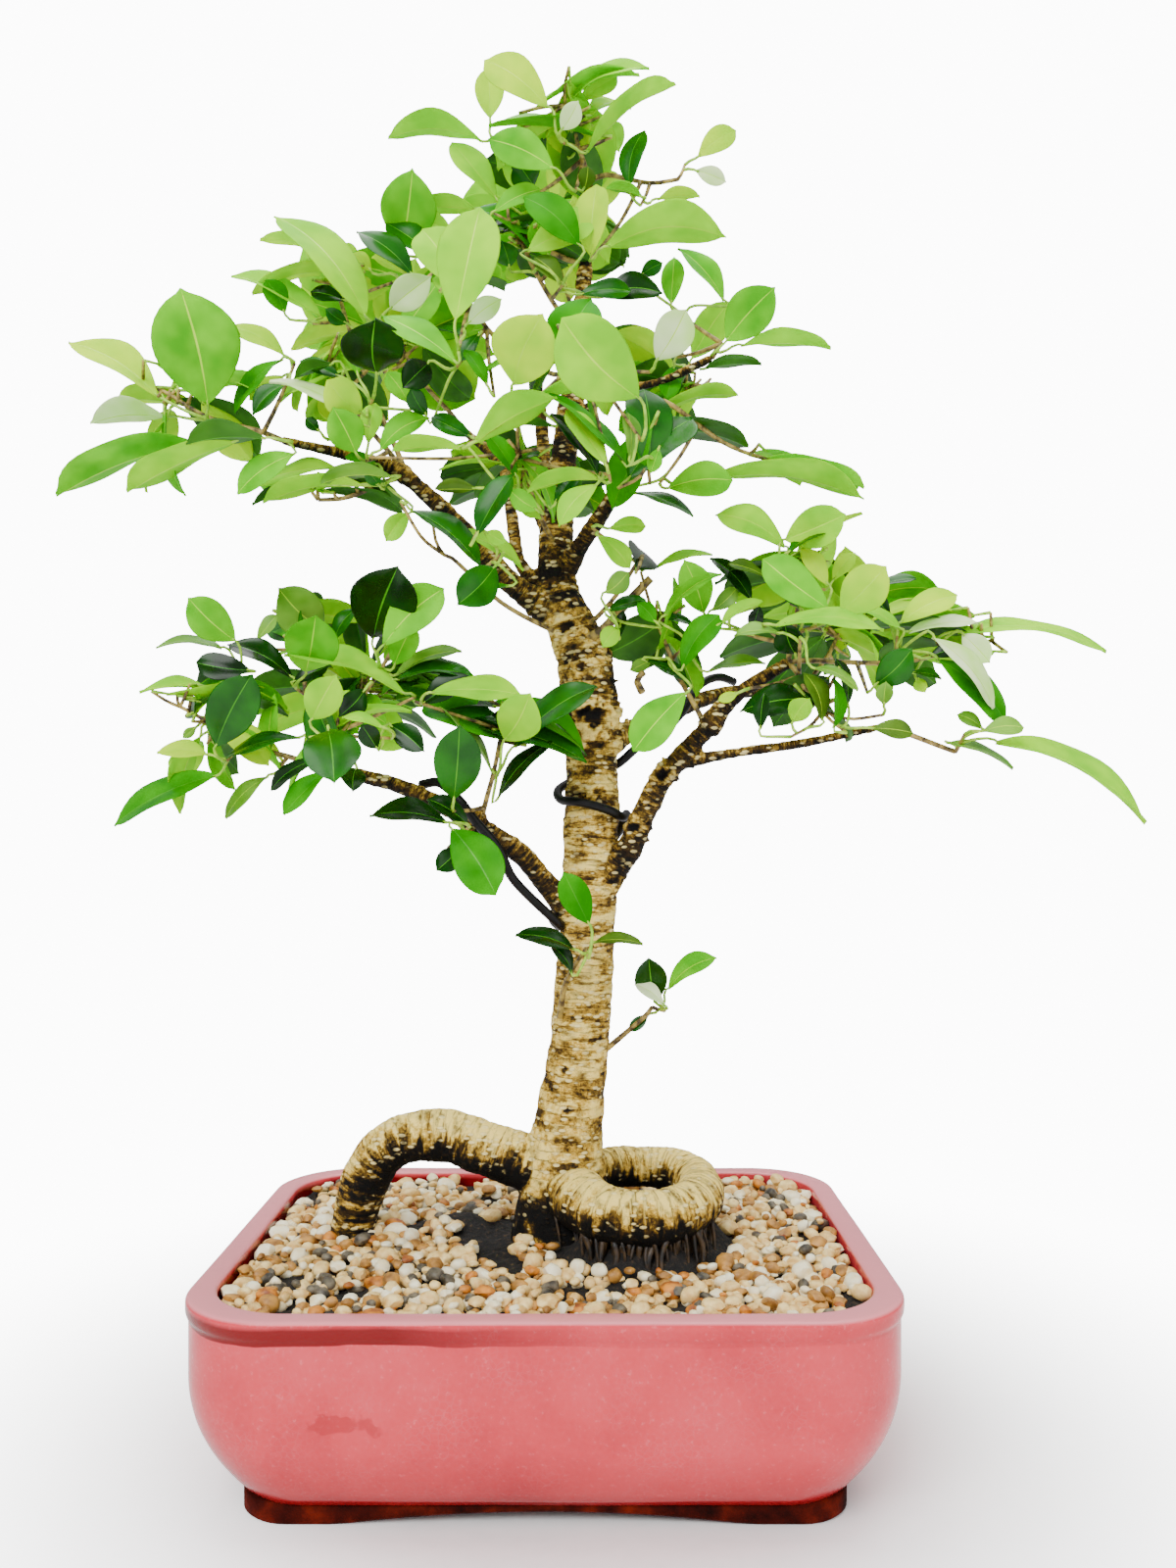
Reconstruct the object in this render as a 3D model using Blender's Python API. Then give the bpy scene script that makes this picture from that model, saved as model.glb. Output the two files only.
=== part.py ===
"""A ficus bonsai in a glazed rectangular pot, as separate solids.

+Z is up and +Y points to the back of the plant. Sizes and places are in millimetres, measured
from the middle of the pot on the surface that it stands on; MM turns them to metres. One empty
carries every part and moves the whole to the bottom centre of its box.
"""
import math
import random

import bmesh
import bpy
from mathutils import Matrix, Vector
from mathutils.bvhtree import BVHTree

MM = 0.001
GAP = 0.3                       # clearance between pieces that touch
SLIVER = 2e-6                   # metres; a fused mass has no shorter edge
MOST_SCRAP_FACES = 12
BOX_CENTRE = (20.0, 0.5)        # middle of the whole plant's box, seen from the pot's middle
CROWN_AXIS = (15.0, 0.0)
TINY = 1e-9

# Pot: outer rim, wall, levels inside it, foot ring
POT_HALF_WIDTH = 130.0
POT_HALF_DEPTH = 104.0
POT_CORNER = 36.0
RIM_HEIGHT = 79.0
LIP_WIDTH = 10.0
LIP_HEIGHT = 8.0
WALL = 8.0
FLOOR_THICKNESS = 9.0
FLOOR_FILLET = 3.0
WALL_RINGS = 6
FOOT_HEIGHT = 8.0
FOOT_INSET = 20.0
FOOT_RING_WIDTH = 14.0
FOOT_CORNER = 18.0
ARCH_HEIGHT = 4.5               # lift of the foot ring between its four corner feet
ARCH_REACH = 0.66               # share of each side that the arch takes
SOIL_LEVEL = 66.0
GRAVEL_LEVEL = 73.0
STONE_SPACING = (31.0, 28.0)    # between the main stones along a row, and between rows
STONE_RADIUS = (5.5, 8.0)
STONE_RISE = (2.8, 4.6)         # above the gravel's surface
STONE_SUNK = 1.0
STONE_SIDES = 4
CORNER_STEPS = 4

# Bark and foliage
TRUNK_SIDES = 3                 # bevel_resolution: 10 sides
BOUGH_SIDES = 2                 # bevel_resolution: 8 sides
WIRE_SIDES = 1                  # bevel_resolution: 6 sides
TRUNK_STEP = 17.0               # distance between rings along the trunk
ROOT_STEP = 9.0
SQUARE_END = 3.0                # length of the straight run at a cut root's end
RING_STEP = 13.0
WIRE_STEP = 7.5
WIRE_RADIUS = 1.9
WIRE_SLACK = 1.1                # between the wire and the trunk that it winds round
DOME_RISE = 0.85                # a limb's tip is rounded over by one ring; shares of its radius
DOME_WIDTH = 0.5
STEM_RADIUS = 1.0
SEAT_POINTS = 6                 # places round a stem's end that are held clear of its carrier
SEAT_TURN = math.tau / SEAT_POINTS
SEAT_STEP = 0.05
SPREAD_ROUNDS = 80              # small turns that part stems sharing a tip
SPREAD_STEP = 0.06
SHOOT_RADIUS = 0.7
SHOOT_ROOT_RADIUS = 0.3         # inside the stem
LEAF_LENGTH = (38.0, 54.0)
LEAF_WIDTH = 0.56               # share of the leaf's length
WIDEST_AT = 0.55
OUTWARD_TURN = 1.3              # how far upper faces turn from straight up to straight out
SIDE_PLACES = (0.45, 0.8)       # where side leaves stand on a shoot
LEAF_THICKNESS = 0.9
LEAF_SINK = 3.5                 # how far back inside its shoot a leaf is rooted
LIMB_CLEARANCE = 0.9
SPACE_MARGIN = 0.25
GOLDEN_ANGLE = math.pi * (3.0 - math.sqrt(5.0))
SEED = 41

# Trunk stations: x, y, z, radius. It leans right, swells at an old cut and runs on as a leader.
TRUNK = [
    (5, 0, 62, 21.5), (5, 0, 80, 21.5), (6, 0, 100, 18.0), (7, 0, 122, 14.6), (11, 0, 150, 12.8),
    (15, 0, 200, 11.8), (17, 0, 250, 11.6), (17, 2, 276, 10.9), (16, 1, 298, 12.2),
    (14, 0, 316, 11.2), (8, 0, 332, 10.0), (2, 3, 352, 8.2), (4, 6, 390, 6.2), (10, 8, 438, 5.0),
    (13, 8, 468, 3.6), (15, 6, 496, 2.6), (16, 4, 518, 1.8),
]

# Limbs: carrier, points from inside the carrier to the tip, radius at the base and at the tip
BOUGHS = {
    "left_bough": ("trunk", [(14, 0, 208), (-1, -8, 223), (-12, -14, 236), (-28, -18, 247)], 4.9, 4.0),
    "left_bough_outer": (
        "left_bough", [(-28, -18, 247), (-42, -20, 255), (-66, -19, 265), (-95, -15, 271)], 4.0, 2.4),
    "right_bough": (
        "trunk", [(15, 0, 218), (32, -8, 238), (39, -12, 254), (47, -16, 268), (63, -20, 286)], 6.2, 3.6),
    "right_upper_branch": ("right_bough", [(63, -20, 286), (74, -22, 299), (95, -25, 312)], 3.6, 2.6),
    "right_low_branch": (
        "right_bough", [(52, -17, 273), (78, -22, 277), (101, -27, 280), (130, -32, 286)], 2.2, 1.5),
    "rear_right_bough": (
        "trunk", [(17, 2, 278), (33, 12, 288), (47, 22, 294), (64, 36, 303), (88, 50, 309), (115, 58, 310)],
        4.8, 2.7),
    "crown_left_bough": (
        "trunk", [(6, 0, 333), (-13, -6, 345), (-22, -10, 353), (-39, -18, 371), (-57, -22, 387)], 5.4, 3.0),
    "crown_left_branch": ("crown_left_bough", [(-57, -22, 387), (-68, -24, 392), (-105, -30, 399)], 2.6, 1.6),
    "crown_inner_left": (
        "trunk", [(4, 2, 342), (-12, 5, 356), (-16, 9, 373), (-22, 18, 413)], 3.1, 1.9),
    "twin_stem": ("trunk", [(4, 4, 372), (-2, -7, 388), (-3, -9, 405), (-5, -14, 429)], 3.0, 2.2),
    "crown_right_bough": (
        "trunk", [(3, 2, 350), (14, -9, 365), (27, -18, 382), (36, -25, 401), (38, -28, 414)], 3.8, 2.4),
    "crown_right_branch": ("trunk", [(9, 8, 418), (24, 0, 427), (46, -8, 430), (66, -12, 438)], 2.1, 1.6),
    "crown_rear_bough": ("trunk", [(5, 6, 394), (9, 28, 416), (17, 52, 438), (20, 68, 456)], 3.1, 2.1),
    "crown_rear_left": ("trunk", [(2, 4, 362), (-10, 27, 391), (-27, 46, 414), (-42, 58, 430)], 2.9, 2.0),
}

# Surface roots: each path runs from inside the trunk and is split at its bends
ROOT_ARCH = [(3, 0, 102), (-25, 2, 112), (-42, 4, 117), (-57, 4, 117), (-70, 5, 111), (-78, 6, 100),
             (-82, 7, 86), (-85, 8, 66)]
ROOT_ARCH_RADII = (12.2, 9.0)
ROOT_ARCH_PARTS = {"left_root_arch": (0.0, 0.56), "left_root_leg": (0.56, 1.0)}
ROOT_LOOP = [(6, -6, 98), (17, -27, 96), (31, -34, 94), (46, -32, 94), (58, -19, 95), (62, -1, 97),
             (56, 15, 99), (43, 21, 100), (28, 17, 101), (12, 5, 102)]
ROOT_LOOP_RADII = (12.0, 8.0)
ROOT_LOOP_PARTS = {"right_root_front": (0.0, 0.41), "right_root_bend": (0.41, 0.66),
                   "right_root_back": (0.66, 1.0)}

# Training wire: over the left bough, round the trunk, then along the rear right bough. A turn is in
# degrees from the right-hand side, counted towards the back, with its height.
WIRE_OVER_LEFT = [(-52, -15, 264), (-44, -21, 264.5), (-36, -27, 258), (-29, -27.5, 249), (-20, -24, 238),
                  (-14, -17, 225)]
WIRE_TURNS = [(218, 207), (180, 209), (135, 218), (90, 230), (45, 243), (8, 252), (-30, 251), (-65, 254),
              (-110, 257), (-150, 258), (-185, 262), (-230, 266), (-280, 270), (-325, 274)]

WIRE_ALONG_REAR = [(40, 10, 284), (50, 16, 290), (57, 21.5, 298), (62, 27.5, 306.5), (68, 36, 312),
                   (75, 44, 314.5), (82, 53, 313.5)]

# Masses of foliage: carrier (a limb's tip, or the trunk and a height), centre, half sizes, leaves
MASSES = {
    "apex_foliage": ("trunk", None, (9, -5, 538), (43, 40, 29), 19),
    "apex_right_foliage": ("trunk", None, (54, -12, 511), (31, 32, 26), 11),
    "apex_left_foliage": ("trunk", 486, (-47, -5, 519), (31, 34, 27), 11),
    "crown_centre_foliage": ("trunk", 462, (-13, -6, 490), (32, 32, 28), 12),
    "back_top_foliage": ("crown_rear_bough", None, (-3, 62, 527), (46, 34, 36), 15),
    "upper_left_foliage": ("crown_left_bough", None, (-88, -12, 470), (34, 34, 31), 12),
    "far_left_foliage": ("crown_left_branch", None, (-151, -30, 418), (47, 32, 43), 16),
    "left_inner_foliage": ("crown_left_bough", None, (-83, -30, 424), (32, 34, 22), 11),
    "left_low_foliage": ("crown_left_bough", None, (-92, -28, 376), (38, 30, 20), 10),
    "front_upper_foliage": ("twin_stem", None, (-32, -58, 447), (25, 26, 37), 10),
    "front_middle_foliage": ("twin_stem", None, (10, -64, 418), (36, 28, 26), 11),
    "front_low_foliage": ("trunk", 366, (-9, -54, 384), (32, 28, 27), 10),
    "right_top_foliage": ("crown_right_branch", None, (78, -8, 458), (40, 34, 33), 15),
    "right_middle_foliage": ("crown_right_bough", None, (88, -20, 394), (42, 34, 29), 14),
    "right_inner_foliage": ("crown_right_bough", None, (38, -56, 386), (24, 26, 28), 8),
    "low_right_foliage": ("trunk", 330, (35, -24, 352), (19, 24, 18), 6),
    "low_left_foliage": ("trunk", 327, (-36, -38, 350), (29, 26, 20), 8),
    "back_left_foliage": ("crown_rear_left", None, (-72, 56, 470), (50, 38, 36), 18),
    "back_right_foliage": ("crown_rear_bough", None, (62, 56, 450), (46, 38, 40), 18),
    "back_low_foliage": ("crown_rear_left", None, (-13, 78, 412), (42, 30, 30), 12),
    "left_pad_tip": ("left_bough_outer", None, (-143, -15, 292), (37, 36, 44), 17),
    "left_pad_top": ("left_bough_outer", None, (-104, -2, 327), (31, 34, 26), 11),
    "left_pad_crest": ("left_bough_outer", None, (-58, -10, 330), (27, 34, 28), 11),
    "left_pad_front": ("left_bough_outer", None, (-80, -54, 280), (34, 26, 28), 11),
    "left_pad_inner": ("left_bough", None, (-18, -30, 287), (38, 30, 31), 11),
    "left_pad_low": ("left_bough", None, (-42, -44, 238), (29, 22, 19), 7),
    "left_pad_back": ("left_bough_outer", None, (-88, 54, 310), (54, 36, 38), 18),
    "right_pad_top": ("right_upper_branch", None, (102, -18, 350), (36, 34, 31), 14),
    "right_pad_inner": ("right_bough", None, (46, -14, 324), (27, 30, 31), 11),
    "right_pad_outer": ("right_upper_branch", None, (170, -25, 320), (50, 34, 30), 17),
    "right_pad_tip": ("right_low_branch", None, (193, -32, 272), (45, 28, 25), 11),
    "right_pad_under": ("right_upper_branch", None, (104, -38, 294), (30, 26, 18), 8),
    "right_pad_back": ("rear_right_bough", None, (132, 58, 338), (56, 38, 38), 18),
    "front_trunk_sprig": ("trunk", 168, (10, -36, 206), (27, 18, 26), 5),
    "right_trunk_sprig": ("trunk", 154, (50, -10, 177), (25, 18, 24), 5),
}


# ---------------------------------------------------------------- geometry helpers

def smooth_path(points, step):
    """Evenly spaced points on a Catmull-Rom curve; each point may carry a radius as a fourth value."""
    rows = [tuple(float(v) for v in p) for p in points]
    first = tuple(2 * a - b for a, b in zip(rows[0], rows[1]))
    last = tuple(2 * a - b for a, b in zip(rows[-1], rows[-2]))
    rows = [first] + rows + [last]
    fine = []
    for i in range(1, len(rows) - 2):
        for k in range(12):
            t = k / 12.0
            fine.append([0.5 * (2 * b + (c - a) * t + (2 * a - 5 * b + 4 * c - d) * t * t
                                + (3 * b - a - 3 * c + d) * t ** 3)
                         for a, b, c, d in zip(*rows[i - 1:i + 3])])
    fine.append(list(rows[-2]))
    lengths = [0.0]
    for a, b in zip(fine, fine[1:]):
        lengths.append(lengths[-1] + math.dist(a[:3], b[:3]))
    count = max(2, round(lengths[-1] / step))
    path, j = [], 0
    for i in range(count + 1):
        want = lengths[-1] * i / count
        while j < len(lengths) - 2 and lengths[j + 1] < want:
            j += 1
        share = (want - lengths[j]) / (lengths[j + 1] - lengths[j])
        path.append([a + (b - a) * share for a, b in zip(fine[j], fine[j + 1])])
    return path


def tapered(points, base, tip, step=RING_STEP):
    """A smooth path whose radius falls evenly from base to tip."""
    path = smooth_path(points, step)
    return [(*p[:3], base + (tip - base) * i / (len(path) - 1)) for i, p in enumerate(path)]


def tangent_at(path, i):
    a, b = path[max(i - 1, 0)], path[min(i + 1, len(path) - 1)]
    return (Vector(b[:3]) - Vector(a[:3])).normalized()


def segment_distance(p, a, b):
    """Distance from p to the segment from a to b, and the share of the way along it."""
    ab = b - a
    share = max(0.0, min(1.0, (p - a).dot(ab) / max(ab.length_squared, TINY)))
    return (p - a - ab * share).length, share


def clear_of(path, p, clearance):
    """True when p stays outside the limb by at least the clearance."""
    for a, b in zip(path, path[1:]):
        distance, share = segment_distance(p, Vector(a[:3]), Vector(b[:3]))
        if distance < a[3] + (b[3] - a[3]) * share + clearance:
            return False
    return True


# ---------------------------------------------------------------- Blender helpers

def new_collection(name):
    collection = bpy.data.collections.new(name)
    bpy.context.scene.collection.children.link(collection)
    return collection


def material(name, color, roughness, metallic=0.0):
    mat = bpy.data.materials.new(name)
    mat.use_nodes = True
    shader = mat.node_tree.nodes["Principled BSDF"]
    shader.inputs["Base Color"].default_value = (*color, 1.0)
    shader.inputs["Roughness"].default_value = roughness
    shader.inputs["Metallic"].default_value = metallic
    mat.diffuse_color = (*color, 1.0)
    return mat


def mesh_object(name, bm, collection, mat=None):
    """An object whose mesh is bm, scaled from millimetres to metres."""
    bmesh.ops.recalc_face_normals(bm, faces=bm.faces)
    mesh = bpy.data.meshes.new(name)
    bm.to_mesh(mesh)
    bm.free()
    mesh.transform(Matrix.Scale(MM, 4))
    obj = bpy.data.objects.new(name, mesh)
    if mat:
        mesh.materials.append(mat)
    collection.objects.link(obj)
    return obj


def limb_curve(name, path, collection, sides, grow=0.0):
    """A round tapering limb: a poly curve with one radius for each point."""
    curve = bpy.data.curves.new(name, "CURVE")
    curve.dimensions = "3D"
    curve.bevel_depth = MM
    curve.bevel_resolution = sides
    curve.render_resolution_u = 0
    curve.use_fill_caps = True
    spline = curve.splines.new("POLY")
    spline.points.add(len(path) - 1)
    for point, (x, y, z, radius) in zip(spline.points, path):
        point.co = (x * MM, y * MM, z * MM, 1.0)
        point.radius = radius + grow
    obj = bpy.data.objects.new(name, curve)
    collection.objects.link(obj)
    return obj


def curve_to_mesh(obj, collection, mat=None):
    """The curve as a closed mesh object of the same name."""
    name = obj.name
    bpy.context.view_layer.update()
    evaluated = obj.evaluated_get(bpy.context.evaluated_depsgraph_get())
    mesh = bpy.data.meshes.new_from_object(evaluated)
    curve = obj.data
    bpy.data.objects.remove(obj)
    bpy.data.curves.remove(curve)
    bm = bmesh.new()
    bm.from_mesh(mesh)
    bmesh.ops.remove_doubles(bm, verts=bm.verts, dist=1e-6)
    bmesh.ops.recalc_face_normals(bm, faces=bm.faces)
    bm.to_mesh(mesh)
    bm.free()
    mesh.materials.clear()
    if mat:
        mesh.materials.append(mat)
    solid = bpy.data.objects.new(name, mesh)
    collection.objects.link(solid)
    return solid


def domed(path, grow=0.0):
    """The path with its end rounded over by one smaller ring beyond the tip."""
    tip, radius = Vector(path[-1][:3]), path[-1][3]
    end = tip + tangent_at(path, len(path) - 1) * (radius * DOME_RISE + grow)
    return path + [(*end, radius * DOME_WIDTH)]


def limb_mesh(name, path, collection, sides, mat=None, grow=0.0):
    return curve_to_mesh(limb_curve(name, path, collection, sides, grow), collection, mat)


def apply_modifiers(obj):
    bpy.context.view_layer.update()
    evaluated = obj.evaluated_get(bpy.context.evaluated_depsgraph_get())
    mesh = bpy.data.meshes.new_from_object(evaluated)
    old = obj.data
    obj.modifiers.clear()
    obj.data = mesh
    bpy.data.meshes.remove(old)


def cut(obj, cutter):
    """Take the cutter's shape away from the object."""
    boolean = obj.modifiers.new("cut", "BOOLEAN")
    boolean.operation = "DIFFERENCE"
    boolean.solver = "EXACT"
    boolean.object = cutter
    apply_modifiers(obj)


def drop(objects):
    for obj in list(objects):
        mesh = obj.data
        bpy.data.objects.remove(obj)
        bpy.data.meshes.remove(mesh)


# ---------------------------------------------------------------- pot, soil and gravel

def rounded_rectangle(half_width, half_depth, corner):
    """Corner arcs of a rounded rectangle, anticlockwise from the right-hand side."""
    outline = []
    for quarter in range(4):
        sx = 1 if quarter in (0, 3) else -1
        sy = 1 if quarter in (0, 1) else -1
        for k in range(CORNER_STEPS + 1):
            angle = math.pi / 2 * (quarter + k / CORNER_STEPS)
            outline.append((sx * (half_width - corner) + corner * math.cos(angle),
                            sy * (half_depth - corner) + corner * math.sin(angle)))
    return outline


def ring_at(inset, corner=POT_CORNER):
    """The pot's outline drawn in by an inset from the outer rim."""
    return rounded_rectangle(POT_HALF_WIDTH - inset, POT_HALF_DEPTH - inset, max(corner - inset * 0.5, 6.0))


def loft(rings):
    """A closed solid through rings of equal count, each a list of (x, y, z); the ends are capped."""
    bm = bmesh.new()
    rows = [[bm.verts.new(p) for p in ring] for ring in rings]
    for low, high in zip(rows, rows[1:]):
        for i in range(len(low)):
            j = (i + 1) % len(low)
            bm.faces.new((low[i], low[j], high[j], high[i]))
    bm.faces.new(rows[0])
    bm.faces.new(rows[-1])
    return bm


def outer_inset(z):
    """How far the pot's outer wall stands in from the rim: a bowl that tucks in to the foot."""
    tuck = max(0.0, 1.0 - (z - FOOT_HEIGHT) / (0.62 * (RIM_HEIGHT - FOOT_HEIGHT)))
    return 17.5 * tuck ** 2.1


def inner_inset(z):
    return max(outer_inset(z) + WALL, LIP_WIDTH)


def wall_heights():
    """Levels of the rings that shape the pot's walls, below the lip."""
    top = RIM_HEIGHT - LIP_HEIGHT
    return [FOOT_HEIGHT + (top - FOOT_HEIGHT) * k / WALL_RINGS for k in range(WALL_RINGS + 1)]


def make_pot(collection, glaze):
    """The glazed body: bowl-shaped sides, a flat lip and an open top."""
    heights = wall_heights()
    body_top = heights[-1]
    floor = FOOT_HEIGHT + FLOOR_THICKNESS
    profile = [(outer_inset(z) + 1.0, z) for z in heights]
    profile += [(0.3, body_top + 1.6), (0.0, body_top + 3.5), (0.0, RIM_HEIGHT - 1.8), (1.6, RIM_HEIGHT)]
    profile += [(LIP_WIDTH - 1.2, RIM_HEIGHT), (LIP_WIDTH, RIM_HEIGHT - 1.4)]
    profile += [(inner_inset(z), z) for z in reversed(heights) if z > floor]
    profile.append((inner_inset(floor) + FLOOR_FILLET, floor))
    rings = [[(x, y, z) for x, y in ring_at(inset)] for inset, z in profile]
    return mesh_object("pot_body", loft(rings), collection, glaze)


def foot_lift(x, y, half_width, half_depth):
    """Height of the foot ring's underside: shallow arches between four flat corner feet."""
    along = x / half_width if abs(y) > half_depth - FOOT_RING_WIDTH - 1.0 else y / half_depth
    share = abs(along) / ARCH_REACH
    return ARCH_HEIGHT * (1.0 - share * share) if share < 1.0 else 0.0


def make_foot(collection, clay):
    """The unglazed ring under the pot, which rests on four corner feet."""
    half_width = POT_HALF_WIDTH - FOOT_INSET
    half_depth = POT_HALF_DEPTH - FOOT_INSET
    steps = 6
    bm = bmesh.new()
    rows = []
    for inset, top in ((0.0, True), (0.0, False), (FOOT_RING_WIDTH, False), (FOOT_RING_WIDTH, True)):
        outline = rounded_rectangle(half_width - inset, half_depth - inset, FOOT_CORNER - inset * 0.5)
        dense = []
        for (ax, ay), (bx, by) in zip(outline, outline[1:] + outline[:1]):
            pieces = steps if math.dist((ax, ay), (bx, by)) > 40.0 else 1
            dense += [(ax + (bx - ax) * k / pieces, ay + (by - ay) * k / pieces) for k in range(pieces)]
        row = []
        for x, y in dense:
            z = FOOT_HEIGHT - GAP if top else foot_lift(x, y, half_width, half_depth)
            row.append(bm.verts.new((x, y, z)))
        rows.append(row)
    for low, high in zip(rows, rows[1:] + rows[:1]):
        for i in range(len(low)):
            j = (i + 1) % len(low)
            bm.faces.new((low[i], low[j], high[j], high[i]))
    return mesh_object("pot_foot", bm, collection, clay)


def make_fill(name, low, high, collection, mat):
    """A layer that fills the pot between two heights, just clear of its wall and floor."""
    floor = FOOT_HEIGHT + FLOOR_THICKNESS
    levels = [low] + [z for z in wall_heights() if low + 1.0 < z < high] + [high]
    rings = []
    for z in levels:
        fillet = FLOOR_FILLET if z < floor + 1.0 else 0.0
        rings.append([(x, y, z) for x, y in ring_at(inner_inset(z) + fillet + 2 * GAP)])
    return mesh_object(name, loft(rings), collection, mat)


def stone_spots(rng):
    """Places for the main stones: staggered rows, inside the wall and clear of trunk and root feet."""
    reach = STONE_RADIUS[1] + 1.5
    half_width = POT_HALF_WIDTH - inner_inset(GRAVEL_LEVEL) - reach
    half_depth = POT_HALF_DEPTH - inner_inset(GRAVEL_LEVEL) - reach
    corner = POT_CORNER - reach
    feet = [TRUNK[0], (*ROOT_ARCH[-1], ROOT_ARCH_RADII[1])]
    columns = math.ceil(half_width / STONE_SPACING[0])
    rows = math.ceil(half_depth / STONE_SPACING[1])
    for row in range(-rows, rows + 1):
        for column in range(-columns, columns + 1):
            x = (column + 0.5 * (row % 2)) * STONE_SPACING[0] + rng.uniform(-4.0, 4.0)
            y = row * STONE_SPACING[1] + rng.uniform(-4.0, 4.0)
            over = math.hypot(max(abs(x) - half_width + corner, 0.0), max(abs(y) - half_depth + corner, 0.0))
            if over < corner and all(math.dist((x, y), foot[:2]) > foot[3] + reach for foot in feet):
                yield x, y


def make_gravel(collection, cutters, mat):
    """The gravel's layer with its main stones standing out of it; the small ones are left flat."""
    gravel = make_fill("gravel_dressing", SOIL_LEVEL + GAP, GRAVEL_LEVEL, collection, mat)
    rng = random.Random(f"{SEED}-stones")
    bm = bmesh.new()
    for x, y in stone_spots(rng):
        rise = rng.uniform(*STONE_RISE)
        radius = rng.uniform(*STONE_RADIUS)
        place = Matrix.Translation((x, y, GRAVEL_LEVEL + (rise - STONE_SUNK) / 2.0))
        turn = Matrix.Rotation(rng.uniform(0.0, math.tau), 4, "Z")
        bmesh.ops.create_cone(bm, cap_ends=True, segments=STONE_SIDES, radius1=radius, radius2=radius * 0.45,
                              depth=rise + STONE_SUNK, matrix=place @ turn)
    stones = mesh_object("main_stones", bm, cutters)
    union = gravel.modifiers.new("stones", "BOOLEAN")
    union.operation = "UNION"
    union.solver = "EXACT"
    union.object = stones
    apply_modifiers(gravel)
    drop([stones])


# ---------------------------------------------------------------- trunk, roots, boughs and wire

def split_path(path, start, end):
    """The stretch of a path between two shares of its length, with half the gap left at each cut."""
    last = len(path) - 1
    low, high = round(start * last), round(end * last)
    piece = [list(p) for p in path[low:high + 1]]
    if low > 0:
        shift = tangent_at(path, low) * (GAP / 2)
        piece[0][:3] = [a + b for a, b in zip(piece[0][:3], shift)]
    if high < last:
        shift = tangent_at(path, high) * (-GAP / 2)
        piece[-1][:3] = [a + b for a, b in zip(piece[-1][:3], shift)]
    return piece


def square_end(path, at_start, direction):
    """A short extra ring that turns a cut end square to the given direction."""
    index = 0 if at_start else len(path) - 1
    point = Vector(path[index][:3])
    step = direction * (SQUARE_END if at_start else -SQUARE_END)
    extra = [*(point + step), path[index][3]]
    return [path[0], extra] + path[1:] if at_start else path[:-1] + [extra, path[-1]]


def make_roots(collection, bark, trunk_cutter, ground):
    """Two thick surface roots: an arch on the left and a loop on the right."""
    paths = {}
    for points, radii, parts in ((ROOT_ARCH, ROOT_ARCH_RADII, ROOT_ARCH_PARTS),
                                 (ROOT_LOOP, ROOT_LOOP_RADII, ROOT_LOOP_PARTS)):
        whole = tapered(points, *radii, step=ROOT_STEP)
        last = len(whole) - 1
        for name, (start, end) in parts.items():
            path = split_path(whole, start, end)
            if start > 0:
                path = square_end(path, True, tangent_at(whole, round(start * last)))
            if end < 1:
                path = square_end(path, False, tangent_at(whole, round(end * last)))
            root = limb_mesh(name, path, collection, TRUNK_SIDES, bark)
            cut(root, trunk_cutter)
            cut(root, ground)
            paths[name] = path
    return paths


def make_boughs(collection, cutters, bark, paths):
    """Each bough starts inside its carrier and is cut to the carrier's surface."""
    for name, (carrier, points, base, tip) in BOUGHS.items():
        path = tapered(points, base, tip)
        bough = limb_mesh(name, domed(path), collection, BOUGH_SIDES, bark)
        sides = TRUNK_SIDES if carrier == "trunk" else BOUGH_SIDES
        cutter = limb_mesh(name + "_cutter", domed(paths[carrier], GAP), cutters, sides, grow=GAP)
        cut(bough, cutter)
        drop([cutter])
        paths[name] = path
    return paths


def radius_at_height(path, z):
    """Centre and radius of the trunk at a height."""
    for a, b in zip(path, path[1:]):
        if a[2] <= z <= b[2]:
            share = (z - a[2]) / (b[2] - a[2])
            return [u + (v - u) * share for u, v in zip(a, b)]
    raise ValueError(f"the trunk does not reach {z} mm")


def wire_path(trunk):
    """The wire's own line; its turns stand just clear of the trunk."""
    round_trunk = []
    for turn, z in WIRE_TURNS:
        cx, cy, _, radius = radius_at_height(trunk, z)
        reach = radius + WIRE_RADIUS + WIRE_SLACK
        angle = math.radians(turn)
        round_trunk.append((cx + reach * math.cos(angle), cy + reach * math.sin(angle), z))
    return smooth_path(WIRE_OVER_LEFT + round_trunk + WIRE_ALONG_REAR, WIRE_STEP)


def make_wire(collection, mat, trunk):
    path = [(*p[:3], WIRE_RADIUS) for p in wire_path(trunk)]
    wire = limb_curve("training_wire", path, collection, WIRE_SIDES)
    wire.data.materials.append(mat)
    return path


# ---------------------------------------------------------------- foliage

def cell_planes(name):
    """Planes half-way, by size, between this mass and each other one: (normal, reach from centre)."""
    centre, sizes = Vector(MASSES[name][2]), MASSES[name][3]
    planes = []
    for other, (_, _, place, other_sizes, _) in MASSES.items():
        if other == name:
            continue
        between = Vector(place) - centre
        normal = between.normalized()
        own = math.sqrt(sum((s * n) ** 2 for s, n in zip(sizes, normal)))
        theirs = math.sqrt(sum((s * n) ** 2 for s, n in zip(other_sizes, normal)))
        planes.append((normal, between.length * own / (own + theirs) - SPACE_MARGIN))
    return planes


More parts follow.
